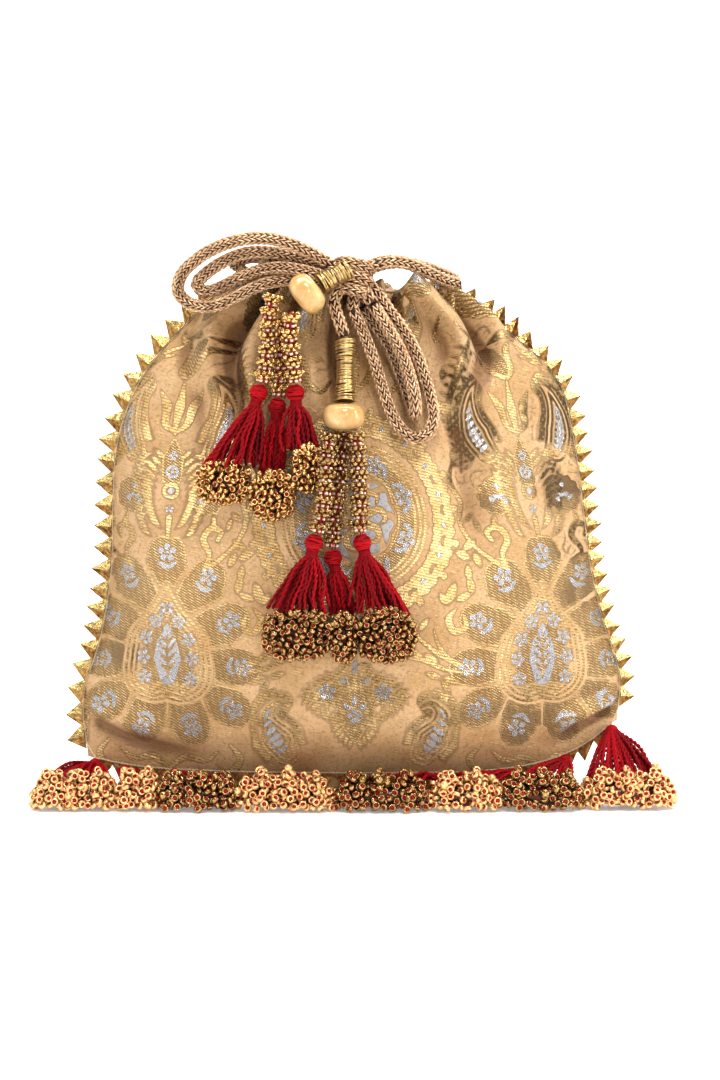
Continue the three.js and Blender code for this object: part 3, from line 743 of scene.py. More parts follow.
def drawPear(loom):
    x, z = brocade["pear"]
    body = loom.blank()
    for side in (-1, 1):
        outline = [(x + side * 5.4, z - 6), (x + side * 4.2, z + 4), (x + side * 1.4, z + 17), (x, z + 28)]
        loom.brush(body, outline, [12.4, 12.0, 5.6, 0.3])
    loom.contour = np.maximum(loom.contour, body)
    for k, (dx, dz) in enumerate([(0, 19), (4.6, 13.6), (8.6, 6.8), (10, -1), (9.4, -9)]):
        loom.flower(x - dx, z + dz, 2.9, 0.4 * k)
    leafBody = loom.blank()
    loom.brush(leafBody, [(x, z - 8.4), (x, z - 3), (x, z + 5), (x, z + 13)], [3.4, 5.6, 4.0, 0.2])
    loom.silver = np.maximum(loom.silver, leafBody)
    loom.hatch = np.minimum(loom.hatch, -leafBody - 0.7)
    veins = loom.blank()
    loom.brush(veins, [(x, z - 9), (x, z + 9)], [0.5, 0.35])
    for height in (-5, -1.4, 2.4, 6):
        vein = [(x, z + height - 1), (x - 2, z + height + 1.2), (x - 3.4, z + height + 3.4)]
        loom.brush(veins, vein, [0.5, 0.55, 0.2])
    loom.silver = np.minimum(loom.silver, -veins)
    stalk = [(x, z - 16), (x - 3, z - 11.6), (x - 6.4, z - 13.2), (x - 5.6, z - 16.4)]
    loom.brush(loom.gold, stalk, [1.0, 1.0, 1.0, 0.9])
    loom.hatch = np.maximum(loom.hatch, body - 6.6)
    drawPetals(loom, x, z)


def drawPetals(loom, x, z):            # scalloped petals that fill a rosette round the pear
    centres = [(x - side * across, height) for across, height in brocade["petals"] for side in (-1, 1)]
    centres = np.array(sorted(set(centres)))
    window, dx, dz = loom.spot(x, z, 56)
    px, pz = dx + x, dz + z
    away = np.hypot(px[..., None] - centres[:, 0], pz[..., None] - centres[:, 1])
    order = np.sort(away, axis=2)
    nearest = centres[np.argmin(away, axis=2)]
    outward = np.arctan2(nearest[..., 1] - z + 3, nearest[..., 0] - x)
    angle = np.arctan2(pz - nearest[..., 1], px - nearest[..., 0]) - outward
    edge = 8.7 + 0.5 * np.abs(np.cos(6.5 * angle)) + 1.2 * np.cos(2 * angle) - 0.6 * np.cos(angle)
    parted = (order[..., 1] - order[..., 0]) / 2 - 0.4
    filled = np.minimum(edge - order[..., 0], parted)
    filled = np.where(np.cos(angle) < -0.2, np.maximum(filled, parted), filled)
    body = loom.contour[window]
    inRing = np.minimum(filled, 24 - np.abs(np.hypot(px - x, (pz - z) * 0.86) - 17))
    loom.lay(loom.hatch, window, np.minimum(inRing, -body - 1.0))
    for across, height in brocade["petals"]:
        cx, cz = x - across, height
        turn = math.atan2(cz - z + 3, cx - x)
        ox, oz = math.cos(turn), math.sin(turn)
        loom.flower(cx + 1.9 * ox, cz + 1.9 * oz, 3.7, turn)
        bow = [(cx - 3.7 * ox + s * 3.5 * oz + 1.6 * s * s * ox,
                cz - 3.7 * oz - s * 3.5 * ox + 1.6 * s * s * oz) for s in (-1, 0, 1)]
        loom.brush(loom.silver, bow, [0.6, 1.1, 0.6])


def paisley(loom, points, widths, side):
    loom.brush(loom.contour, points, widths)
    for k in range(7):                             # silver wedges down its middle
        t = 0.45 + 0.5 * k / 6
        x, z = splineAt([(x, 0, z) for x, z in points], t)[0][[0, 2]]
        size = np.interp(t, np.linspace(0, 1, len(widths)), widths)
        loom.leaf(loom.silver, x + side * 0.16 * size, z, 0.95 * size, 0.36 * size, 0.9 * side + 1.57)
    line = curved(points, 30)
    for k in range(1, 29):                         # the teeth round its edge
        way = line[k + 1] - line[k - 1]
        way /= np.linalg.norm(way)
        half = np.interp(k / 29, np.linspace(0, 1, len(widths)), widths) + 1.8
        for turn in (-1, 1):
            edge = line[k] + turn * half * np.array([way[1], -way[0]])
            angle = math.atan2(turn * -way[0], turn * way[1]) + 0.5 * turn
            loom.leaf(loom.gold, *edge, 3.4, 1.5, angle)


def drawSprays(loom):
    stems = [
        ([(60, 95), (58, 101), (61, 107), (57.6, 111.6), (53.6, 110), (55, 106.6)],
         [0.9, 0.8, 1.3, 1.3, 1.1, 0.8]),
        ([(60, 95), (54, 99), (47, 106), (43.5, 115), (45, 122), (41, 130), (43, 138)],
         [0.8, 0.8, 0.7, 1.0, 0.9, 1.2, 0.4]),
        ([(41, 130), (37.4, 127), (39, 122.6)], [1.2, 1.1, 0.5]),
        ([(40, 80), (37, 76), (39.4, 71), (44, 72.4), (43.4, 77)], [0.4, 1.4, 1.4, 1.1, 0.7]),
        ([(46.6, 56), (40, 58.6), (32, 63), (24, 70), (16, 79)], [0.9, 1.0, 0.8, 0.7, 0.3]),
        ([(46.6, 55), (38, 59.6), (33, 66), (31, 72)], [0.8, 0.8, 0.7, 0.3]),
        ([(46.6, 54), (36, 56), (26, 60), (15, 61.6)], [0.8, 0.9, 0.7, 0.3]),
        ([(32, 48), (38, 44), (40, 38), (36.4, 33), (34, 37)], [0.5, 1.2, 1.3, 1.0, 0.5]),
        ([(75, 14), (68, 18), (60, 17), (55, 21)], [1.0, 1.2, 1.2, 0.4]),
        ([(50, 24), (46, 18), (50, 12), (56, 10)], [0.5, 1.3, 1.3, 0.6]),
        ([(62, 184), (56, 178), (49, 170), (44.6, 161), (44, 153), (47.6, 144), (47, 134)],
         [0.4, 1.3, 1.5, 1.3, 1.2, 1.0, 0.5]),
        ([(44, 156), (39, 161), (36, 169), (38, 177)], [1.0, 1.2, 1.0, 0.4]),
        ([(47.6, 144), (43.6, 141), (44, 136)], [1.0, 1.0, 0.4]),
        ([(30, 182), (24, 176), (21, 168), (25, 162), (30, 165)], [0.5, 1.3, 1.4, 1.1, 0.6]),
        ([(21, 168), (15, 165), (11, 170)], [1.0, 1.0, 0.4]),
        ([(0, 186), (0, 176), (0, 164)], [0.5, 2.6, 0.6]),
        ([(0, 166), (6, 170), (9, 177), (6, 183)], [0.5, 1.6, 1.5, 0.4]),
        ([(75, 148), (75, 158), (75, 169)], [0.6, 2.2, 0.4]),
        ([(75, 148.6), (70.6, 152), (69.4, 159), (65.4, 165)], [0.5, 1.5, 2.0, 0.4]),
        ([(74, 170), (70, 174), (68.6, 180), (64, 184)], [0.5, 1.4, 1.4, 0.4]),
    ]
    for points, widths in stems:
        loom.brush(loom.gold, points, widths)
    leaves = [
        (46, 105, 6, 3, 0.6), (43, 101, 6.4, 3.2, -0.5), (48.6, 99, 5.6, 2.8, -1.1), (45, 94, 5.6, 2.8, -1.4),
        (46, 89, 6, 3.2, -1.3), (38, 86, 8.4, 4, 1.2), (43, 84.6, 6, 3, 0.4), (35, 84, 5.2, 2.8, 2.2),
        (39.4, 117, 5, 2.4, 2.4), (47.6, 116, 4.6, 2.2, 0.7), (30, 60.6, 6, 2.6, -0.5),
        (24, 62.8, 5.4, 2.4, -0.6), (38, 51.6, 6.4, 2.8, 2.7), (31, 53.6, 6, 2.6, 2.8), (36, 49, 5, 2.4, 2.2),
        (53, 168, 6, 3, 2.2), (44, 172, 5.4, 2.6, 1.0), (57, 114, 4.4, 2.2, 1.4), (50.4, 113, 4.6, 2.2, 1.9),
        (27, 74, 5.6, 2.4, 0.9),
    ]
    for x, z, length, width, angle in leaves:
        loom.leaf(loom.gold, x, z, length, width, angle)
    for k in range(15):                 # teeth along the tall vine
        x, z = curved([(60, 182), (49, 170), (44, 156), (47.4, 144), (47, 134)], 17)[k + 1]
        loom.leaf(loom.gold, x - 2.4, z + 0.6, 3.6, 1.5, 2.6)
        loom.leaf(loom.gold, x + 2.4, z - 0.8, 3.2, 1.4, 0.4)
    loom.leaf(loom.hatch, 75, 177, 15, 9, math.pi / 2)


def drawCone(loom):
    x = 75.0
    for k in range(11):                 # feathers that hang from the cone's sides
        z = 140 - 2.7 * k
        reach = 5.2 + 3.6 * math.sin(math.pi * k / 10)
        loom.leaf(loom.gold, x - reach, z, 5.6, 1.7, -0.75)
        loom.leaf(loom.gold, x - reach - 3.4, z - 4, 4.6, 1.5, -0.6)
    body = loom.blank()
    loom.brush(body, [(x, 147), (x, 138), (x, 131)], [0.4, 4.4, 4.0])
    loom.hatch = np.maximum(loom.hatch, body)
    loom.flower(x, 139.6, 2.0, 0.5)
    loom.ring(loom.silver, x, 133.2, 2.2, 0.6)
    loom.disc(loom.silver, x, 133.2, 0.8)
    loom.ring(loom.gold, x, 125.6, 2.6, 0.7)
    loom.disc(loom.silver, x, 125.6, 1.3)
    loom.flower(x, 118.4, 1.7, 0.2)
    loom.brush(loom.gold, [(x, 115), (x, 107)], [1.1, 0.6])
    window, dx, dz = loom.spot(60, 124, 12)
    rho, angle = np.hypot(dx, dz), np.arctan2(dz, dx)
    loom.lay(loom.hatch, window, 7.0 + 1.1 * np.abs(np.cos(6 * angle)) - rho)
    for k in range(4):
        loom.leaf(loom.silver, 57.4 + 1.9 * k, 122.4 + 1.5 * math.sin(k * 1.2), 3.2, 1.7, 0.5 * k - 0.6)
    loom.disc(loom.silver, 60, 127.6, 1.1)
    for k in range(9):                  # more feathers, outside the first
        z = 141 - 3.0 * k
        reach = 11.5 + 3.0 * math.sin(math.pi * k / 8)
        loom.leaf(loom.gold, x - reach, z, 5.0, 1.5, -0.9)
        loom.leaf(loom.gold, x - reach + 1.2, z - 1.6, 4.2, 1.3, 0.5)


def drawLotus(loom):
    loom.brush(loom.hatch, [(0, 57), (0, 48), (0, 40), (0, 27)], [0.8, 6.4, 8.0, 1.5])
    loom.brush(loom.hatch, [(0, 43), (9, 45.6), (17, 44)], [6.0, 4.6, 1.6])
    edge = curved([(1, 60), (7, 53.6), (14, 51.4), (20, 45), (15, 39.4), (9, 36), (6, 29), (0, 23.4)], 25)
    for k in range(1, 24):              # the feathered edge round it
        way = edge[k + 1] - edge[k - 1]
        loom.leaf(loom.gold, *edge[k], 4.2, 1.6, math.atan2(way[0], -way[1]) - 0.5)
    for k in range(9):
        spread = (k - 4) * 0.34
        for reach in (6.5, 10.5, 13.4):
            x, z = reach * math.sin(spread) * 1.15, 47 + reach * math.cos(spread) - 4
            loom.leaf(loom.gold, x, z, 4.6, 2.0, math.pi / 2 - spread)
    for x, z, length in ((0, 57, 5.4), (4.4, 51.6, 4), (0, 43.4, 4.6), (3.2, 41, 4)):
        loom.leaf(loom.silver, x, z, length, 2.2, 1.57 - 0.25 * x)
    loom.flower(11.2, 47, 3.5, 0.3)
    loom.flower(0, 37, 3.1, 0.2)
    for k in range(12):
        angle = k * math.pi / 6
        loom.leaf(loom.gold, 11.2 + 5.4 * math.cos(angle), 46.6 + 5 * math.sin(angle), 3.2, 1.5, angle)
        loom.leaf(loom.gold, 5.6 * math.cos(angle), 36.4 + 5 * math.sin(angle), 3.2, 1.5, angle)


def drawBrocade():
    loom = Loom()
    drawCone(loom)
    drawSprays(loom)
    drawLotus(loom)
    paisley(loom, [(26, 40.6), (30, 42.4), (34.4, 38), (31.4, 28.6), (27.4, 20.6)],
            [0.6, 1.6, 3.4, 7.4, 5.6], 1)
    paisley(loom, [(61, 170), (55.6, 164), (53.8, 156), (55.6, 148), (59, 141.5)],
            [0.5, 2.6, 4.8, 6.0, 5.0], -1)
    drawMedallion(loom)
    medallionHeart(loom)
    drawPear(loom)
    return loom


def weave(loom, a, b):                 # the figures' fields at places on the flat cloth
    half, step = brocade["halfRepeat"], brocade["step"]
    folded = np.abs((a + half) % (2 * half) - half)
    c = np.clip((folded - brocade["across"][0]) / step, 0, loom.a.shape[1] - 2)
    rise = np.where(b > brocade["repeatTop"], b - brocade["rise"], b)
    r = np.clip((rise - brocade["upward"][0]) / step, 0, loom.a.shape[0] - 2)
    c0, r0 = c.astype(int), r.astype(int)
    fc, fr = c - c0, r - r0
    blooms = np.array(loom.blooms)
    nearest, best = np.zeros(a.shape, int), np.full(a.shape, 1e9)
    for k, (x, z, size, _) in enumerate(blooms):
        d = np.hypot(folded - x, rise - z) / size
        nearest, best = np.where(d < best, k, nearest), np.minimum(best, d)
    x, z, size, turn = (blooms[nearest, k] for k in range(4))
    u, v = (folded - x) / size, (rise - z) / size
    c, s = np.cos(turn), np.sin(turn)
    out = {"bloom": np.stack([u * c + v * s, v * c - u * s, np.clip(1.7 - best, -1, 2)], 1)}
    for name in ("gold", "hatch", "silver", "contour"):
        f = getattr(loom, name)
        out[name] = ((f[r0, c0] * (1 - fc) + f[r0, c0 + 1] * fc) * (1 - fr)
                     + (f[r0 + 1, c0] * (1 - fc) + f[r0 + 1, c0 + 1] * fc) * fr)
    return out


def flatCloth(x, z):           # where a place on the bag lies on the flat cloth
    left = np.interp(z, [0, 100, 151, 170, 190, 206, 216], [1, 1, 0.955, 0.90, 0.70, 0.5, 0.45])
    right = np.interp(z, [0, 100, 151, 170, 190, 206, 216], [1, 1, 0.86, 0.80, 0.66, 0.46, 0.42])
    share = np.clip((x + 20) / 40, 0, 1)
    return x / (left * (1 - share) + right * share), z


# X, Z, reach and strength of each place where the gold is painted dark, as painted reflection of dark
# surroundings
darkReflectionSpots = [(50, 184, 9, 1.0), (42, 168, 9, 1.0), (46, 150, 12, 1.0), (44, 134, 9, 0.9),
             (80, 156, 14, 1.0), (82, 128, 11, 1.0), (88, 104, 9, 0.8), (48, 118, 8, 0.5),
             (90, 84, 7, 0.6), (-92, 60, 8, 0.5), (-62, 190, 9, 0.5), (-52, 170, 7, 0.6),
             (30, 36, 12, 0.45), (-30, 34, 10, 0.35), (70, 34, 14, 0.4)]


def darkReflectionAt(x, z):                     # how strongly the gold is painted dark there, by place: painted reflection of dark surroundings
    total = np.zeros_like(x)
    for spotX, spotZ, reach, strength in darkReflectionSpots:
        away = ((x - spotX) ** 2 + (z - spotZ) ** 2) / reach**2
        total = np.maximum(total, strength * np.exp(-(away**2)))
    return total


def brocadeMaterial():
    paint = Paint("brocade")
    gold, hatch, silver, contour = (paint.read(name) for name in ("gold", "hatch", "silver", "contour"))
    paintedShade, darkReflection = paint.read("paintedShade"), paint.read("darkReflection")
    flat, bloom = paint.read("flat", "Vector"), paint.read("bloom", "Vector")
    a, b = paint.split(flat, 0), paint.split(flat, 1)
    u, v, near = (paint.split(bloom, axis) for axis in (0, 1, 2))
    # small flowers: five petals round an eye, with a dark halo
    wobble = paint.noise(flat, 0.9, 3.0)
    rough = wobble - 0.5
    rho = (u * u + v * v) ** 0.5 + rough * 0.12
    theta = v.join("ARCTAN2", v, u)
    lobe = (theta * 2.5).cosine().absolute()
    petals = (0.60 + lobe * 0.42 - rho).ramp(-0.06, 0.08) * lobe.ramp(0.30, 0.48) * rho.ramp(0.24, 0.36)
    petals = petals.most(1.0 - rho.ramp(0.13, 0.22)) * near.ramp(0.35, 0.6)
    halo = (1.25 - rho).ramp(0.0, 0.2) * near.ramp(0.35, 0.6)
    # the threads of the cloth, and the crossed floats that fill the hatched figures
    pitch = 2 * math.pi / brocade["threadPitch"]
    weft = (b * pitch + rough * 1.6).sine() * 0.5 + 0.5
    warp = ((a + b * 0.5) * (pitch * 1.15)).sine() * 0.5 + 0.5
    hatchPitch = 2 * math.pi / brocade["hatchPitch"]
    first = ((a * 0.62 + b) * hatchPitch + rough * 1.5).sine() * 0.5 + 0.5
    second = ((b - a * 0.8) * hatchPitch + rough * 1.5).sine() * 0.5 + 0.5
    hatching = first.ramp(0.16, 0.5) * (second.ramp(0.1, 0.4) * 0.7 + 0.3)
    # how much gold and silver shows at each place
    edge = rough * 0.5
    goldShare = (gold + edge).ramp(-0.12, 0.18)
    hatchShare = (hatch + edge).ramp(-0.12, 0.18)
    hatchEdge = 1.0 - (hatch - 0.42).absolute().ramp(0.18, 0.42)
    rings = ((contour - 0.6) * (2 * math.pi / brocade["contourPitch"])).cosine()
    ringShare = rings.ramp(-0.35, 0.3) * contour.ramp(-0.3, 0.0) * (1.0 - contour.ramp(5.0, 5.6))
    silverShare = (silver + edge).ramp(-0.1, 0.14).most(petals)
    around = ((silver + edge).ramp(-0.8, -0.4)).most(halo) * (1.0 - silverShare)
    scale = ((a * 1.9).sine() * (b * 2.3).sine() * 0.5 + 0.5).ramp(0.12, 0.3) * 0.35 + 0.65
    zari = (goldShare * scale).most(hatchShare * hatching).most(hatchEdge * 0.85).most(ringShare)
    outline = ((gold + 0.4).ramp(-0.16, 0.16) * (1.0 - goldShare)).most(around * 0.8)
    # thin tendrils in the ground between the figures
    vines = (paint.noise(flat, 0.06, 1.5) * 34.0 + rough * 1.3).sine().absolute()
    sprigs = (paint.noise(flat, 0.21, 1.0) * 20.0 + rough * 1.2).sine().absolute()
    filler = (1.0 - vines.ramp(0.16, 0.42)).most((1.0 - sprigs.ramp(0.2, 0.44)) * 0.55)
    taken = near.ramp(0.0, 0.5)
    for field, margin in ((gold, 1.7), (hatch, 1.5), (contour, 1.2), (silver, 1.5)):
        taken = taken.most((field + margin).ramp(0.0, 0.8))
    zari = zari.most(filler * (1.0 - taken) * brocade["filler"])
    # the colours of ground, gold and silver; painted shade in the fold valleys and towards the bottom, and
    # painted dark reflection on the gold
    cloudy = paint.noise(flat, 0.045, 3.0)
    ground = paint.blend(cloudy.ramp(0.35, 0.7), brocade["groundColour"], brocade["groundShade"])
    ground = paint.blend(warp * 0.22, ground, brocade["groundThread"])
    patches = paint.noise(flat, 0.11, 2.0).ramp(0.3, 0.7)
    goldTone = paint.blend(patches, brocade["goldColour"], brocade["goldShade"])
    goldTone = paint.blend(weft * 0.25, goldTone, brocade["goldThread"])
    ribs = ((b + a * 0.24) * (2 * math.pi / brocade["ribPitch"]) + rough * 2.2).sine() * 0.5 + 0.5
    goldTone = paint.blend((1.0 - ribs.ramp(0.1, 0.5)) * 0.6, goldTone, brocade["goldThread"])
    # painted dark reflection on the gold: dark olive and less metallic at the listed spots
    darkReflectionTone = paint.blend(wobble.ramp(0.35, 0.65), brocade["darkReflectionColour"], brocade["darkReflectionShade"])
    dark = (darkReflection * 1.5 - paint.noise(flat, 0.16, 1.0).ramp(0.52, 0.68) * 0.6).clip()
    goldTone = paint.blend(dark, goldTone, darkReflectionTone)
    silverTone = paint.blend(weft * 0.5, brocade["silverColour"], brocade["silverThread"])
    base = hatchShare * (1.0 - zari) * 0.95
    colour = paint.blend(base.most(outline * 0.5), ground, brocade["gapColour"])
    colour = paint.blend(zari, colour, goldTone)
    colour = paint.blend(silverShare, colour, silverTone)
    grainy = paint.noise(flat, 0.75, 2.0, 0.7)
    colour = paint.blend(grainy.ramp(0.46, 0.70) * 0.42, colour, brocade["goldThread"])
    # painted shade from the fold valleys and from the bottom of the cloth
    colour = paint.blend(paintedShade.ramp(0.08, 1.0) * brocade["paintedShadeShare"], colour, brocade["paintedShadeColour"])
    metal = (zari * 0.9 * (1.0 - dark * 0.6)).most(silverShare * 0.75).most(0.04)
    roughness = 0.5 - zari * 0.22 - silverShare * 0.14 + rough * 0.16
    height = zari * 0.5 + silverShare * 0.6 + weft * zari.most(silverShare) * 0.3 + warp * 0.06
    height = height + paint.noise(flat, 0.35, 3.0) * 0.3
    normal = paint.bump(height, 0.8, 0.0006)
    return paint.finish(colour=colour, metal=metal, rough=roughness, normal=normal, sheen=0.1, sheenRough=0.4)


def liningMaterial():
    paint = Paint("lining satin")
    grain = paint.noise(paint.place(1000.0), 2.2, 3.0)
    colour = paint.blend(grain.ramp(0.3, 0.7), (0.42, 0.28, 0.14), (0.33, 0.21, 0.10))
    normal = paint.bump(grain, 0.3, 0.0004)
    return paint.finish(colour=colour, rough=0.5 + grain * 0.2, normal=normal, sheen=0.2)


def makePanel(side, loom, material):
    columns, rows = pouch[side + "Grid"]
    c = np.linspace(-1, 1, columns + 1)
    c = np.sign(c) * (1 - (1 - np.abs(c)) ** 1.12) if side == "back" else c
    r = np.linspace(0, 1, rows + 1)
    across, up = [g.ravel() for g in np.meshgrid(c, r)]
    points, smooth, lift = clothSurface(side, across, up)
    lift = lift.reshape(rows + 1, columns + 1)
    # painted shade: darker in the valleys between the folds, and darker towards the bottom of the cloth
    paintedShade = (softened(lift, columns // 45) - lift) / 2.2 + (softened(lift, columns // 20) - lift) / 5.0
    paintedShade = np.clip(paintedShade, -1, 1).ravel() + 0.42 * np.clip((30 - smooth[:, 2]) / 16, 0, 1) ** 1.5
    a, b = flatCloth(smooth[:, 0], smooth[:, 2])
    if side == "back":
        rises = np.linalg.norm(np.diff(points.reshape(rows + 1, columns + 1, 3), axis=0), axis=2)
        run = np.vstack([np.zeros(columns + 1), np.cumsum(rises, axis=0)])
        b = (run + (pouch["bottomSeam"][4][2] - 34)).ravel()
        b = 0.35 * b + 0.65 * np.tile(run.mean(1)[:, None] - 20, (1, columns + 1)).ravel()
    hemRows = pouch["hemRows"]
    ends = np.sqrt(np.clip(1 - c**2, 0, 1))
    top = points.reshape(rows + 1, columns + 1, 3)[-1]
    inward = 1.0 if side == "front" else -1.0
    hem = []
    for k in range(1, hemRows + 1):     # the casing rolls over the drawcord and goes down inside
        t = k / hemRows
        turn = top.copy()
        turn[:, 1] += inward * (1.6 * math.sin(min(1, t * 2.5) * math.pi / 2) + 1.6 * t) * ends
        turn[:, 2] += 1.5 * math.sin(math.pi * min(1, t * 2))
        turn[:, 2] -= pouch["hemDepth"] * max(0, t - 0.25) / 0.75
        hem.append(turn)
    allPoints = np.vstack([points] + hem)
    a = np.concatenate([a] + [a[-(columns + 1):]] * hemRows)
    b = np.concatenate([b] + [b[-(columns + 1):] + 2.0 * k for k in range(1, hemRows + 1)])
    fields = weave(loom, a, b)
    quads = gridQuads(rows + 1 + hemRows, columns + 1)
    if side == "back":
        quads = quads[:, ::-1]
    fields["flat"] = np.stack([a, b, np.zeros_like(a)], 1)
    fields["paintedShade"] = np.concatenate([paintedShade, np.tile(paintedShade[-(columns + 1):], hemRows)])
    fields["darkReflection"] = darkReflectionAt(allPoints[:, 0], allPoints[:, 2])
    piece = meshPiece("brocade_" + side, allPoints, [quads], [], material, fields)
    area = sum(p.area for p in piece.data.polygons)
    settle(piece, side + "_panel")
    return piece, area


def makeLining():
    columns, rows = pouch["liningGrid"]
    low, deep = pouch["liningDepth"]
    grid = np.meshgrid(np.linspace(-1, 1, columns + 1), np.linspace(0.03, 0.9, rows + 1))
    across, up = (g.ravel() for g in grid)
    gathered = np.clip((up - 0.4) / 0.35, 0, 1)
    ripple = 0.5 * np.sin(across * 26 + 5 * up) + 0.4 * np.sin(across * 41 - 7 * up)
    heap = Heap()
    for side in ("front", "back"):
        points = pouchPoint(pouch[side + "Middle"], across, up, low)
        deeper = pouchPoint(pouch[side + "Middle"], across, up, deep)
        points += (deeper - points) * (gathered * gathered * (3 - 2 * gathered))[:, None]
        points[:, 1] += ripple * np.clip(up - 0.4, 0, 1) * (1 - across**2)
        quads = gridQuads(rows + 1, columns + 1)
        heap.add(points, quads if side == "front" else quads[:, ::-1])
    piece = meshPiece("lining", np.vstack(heap.points), heap.quads, [], liningMaterial())
    return settle(piece, "lining_bag")


# seam cord and folded foil trim

trim = {
    "cordRadius": 0.3,
    "cordPitch": 3.0,
    "seamStep": 0.75,
    "toothGrid": (7, 5),
    "rows": {                 # each row lies along a seam, bare at its two ends; the worn length is ragged
        "left": {"bare": (4, 14), "pitch": 8.7, "reach": 6.4, "shadedFacetFirst": True, "mark": 0.0, "worn": 0.0},
        "right": {"bare": (6, 2), "pitch": 7.2, "reach": 5.3, "shadedFacetFirst": True, "mark": 0.0, "worn": 40.0},
        # the bottom row is painted in the shaded tone on both facets, one of them tinted amber
        "bottom": {"bare": (3, 6), "pitch": 8.4, "reach": 6.6, "shadedFacetFirst": False, "mark": 1.0, "worn": 0.0},
    },
}


def seamPath():
    down = splineAt(pouch["leftSeam"], np.linspace(0.985, 0.03, 60))
    along = splineAt(pouch["bottomSeam"], np.linspace(0.02, 0.98, 80))
    up = splineAt(pouch["rightSeam"], np.linspace(0.03, 0.985, 60))
    line = np.vstack([down, along, up])
    run = runOf(line)
    return atRun(run, line, np.arange(0, run[-1], trim["seamStep"]))


def seamMaterial():
    paint = Paint("seam cord")
    grain = paint.noise(paint.place(1000.0), 2.5)
    colour = paint.blend(grain.ramp(0.3, 0.7), (0.80, 0.68, 0.50), (0.55, 0.42, 0.26))
    return paint.finish(colour=colour, rough=0.55, sheen=0.3)


def makeSeamCord():
    heap = Heap()
    path = seamPath()
    _, side, up = framesAlong(path)
    turn = np.arange(len(path)) * trim["seamStep"] / trim["cordPitch"] * 2 * math.pi
    for ply in (0, math.pi):
        offset = side * np.cos(turn + ply)[:, None] + up * np.sin(turn + ply)[:, None]
        tubeAlong(heap, path + offset * 0.24, trim["cordRadius"], 5)
    return settle(heap.build("twisted_seam", seamMaterial()), "seam_cord")


def foilMaterial():
    paint = Paint("gota foil")
    mark = paint.read("mark")
    crinkle = paint.noise(paint.place(1000.0), 0.9, 4.0, 0.6)
    # painted light and shade: a lit foil tone and a shaded foil tone, one for each facet of a tooth; amber
    # tints the bottom row's other facet
    litTone = paint.blend(crinkle.ramp(0.3, 0.75), (0.95, 0.74, 0.36), (0.70, 0.46, 0.16))
    dark = paint.blend(crinkle.ramp(0.35, 0.7), (0.46, 0.28, 0.10), (0.17, 0.075, 0.03))
    colour = paint.blend(mark.clip(), litTone, dark)
    amber = paint.blend(crinkle.ramp(0.3, 0.7), (0.62, 0.30, 0.06), (0.30, 0.12, 0.03))
    colour = paint.blend((mark - 1.0).clip(), colour, amber)
    rough = 0.26 + mark.clip() * 0.2
    return paint.finish(colour=colour, metal=0.85, rough=rough, normal=paint.bump(crinkle, 0.5, 0.0006))


def gotaTooth(heap, start, end, tip, normal, rng, look, ragged):
    base = (start + end) / 2
    # one facet painted in the shaded tone, the other in the lit tone
    facets = ((start, 1.0), (end, 0.0)) if look["shadedFacetFirst"] else ((start, 0.0), (end, 1.0))
    mark = look["mark"]
    ridge = base + normal * 1.3 + (tip - base) * 0.05
    under = base - normal * 0.5
    count, steps = trim["toothGrid"]
    for k, (corner, tone) in enumerate(facets):
        rows = []
        for t in np.arange(count) / (count - 1):
            a = corner + (tip - corner) * t
            b = ridge + (tip - ridge) * t
            rows.append([a + (b - a) * s for s in np.linspace(0, 1, steps)])
        rows = np.array(rows)
        crumple = rng.normal(0, (0.30 if tone else 0.07) * ragged, rows.shape[:2])
        crumple[:, -1] *= 0.3
        rows = rows + crumple[..., None] * normal
        quads = gridQuads(count, steps)
        if k:
            quads = quads[:, ::-1]
        share = rng.uniform(0.75, 1.0) if mark < 1 else 0.4
        heap.add(rows.reshape(-1, 3), quads, mark=mark + tone * share)
    # the back of the tooth, painted in the shaded tone
    back = np.array([start, end, tip, under])
    heap.add(back, None, [(3, 0, 2), (1, 3, 2)], mark=max(1.0, mark))


def gotaRow(heap, side, look, rng):
    line = splineAt(pouch[side + "Seam"], np.linspace(0, 1, 400))
    run = runOf(line)
    s, last = look["bare"][0], run[-1] - look["bare"][1]
    while s < last:
        size = look["pitch"] * rng.uniform(0.94, 1.06)
        a, b = atRun(run, line, s), atRun(run, line, s + size)
        way = (b - a) / np.linalg.norm(b - a)
        outward = {"left": np.array([-way[2], 0, way[0]]), "right": np.array([way[2], 0, -way[0]]),
                   "bottom": np.array([0, -0.12, -1.0])}[side]
        outward /= np.linalg.norm(outward)
        normal = np.cross(way, outward)
        normal *= -np.sign(normal[1]) or 1       # the folded side faces forward
        root, overlap = outward * 0.2, way * 0.9
        reach = look["reach"] * rng.uniform(0.92, 1.06)
        tip = (a + b) / 2 + outward * (1.3 + reach) + way * rng.normal(0, 0.5) + normal * rng.normal(0, 0.5)
        worn = look["worn"] and s > run[-1] - look["worn"]
        if worn:
            tip = tip + outward * rng.uniform(-1.5, 1.0) + way * rng.normal(0, 1.4)
        gotaTooth(heap, a + root - overlap, b + root + overlap, tip, normal, rng, look, 4.0 if worn else 1.0)
        s += size


def makeGota():
    material = foilMaterial()
    rng = np.random.default_rng(21)
    pieces = []
    for side, look in trim["rows"].items():
        heap = Heap()
        gotaRow(heap, side, look, rng)
        pieces.append(settle(heap.build("gota_" + side, material, False), "gota_trim_" + side))
    return pieces


# drawcord: the routes of the cord, as in the construction

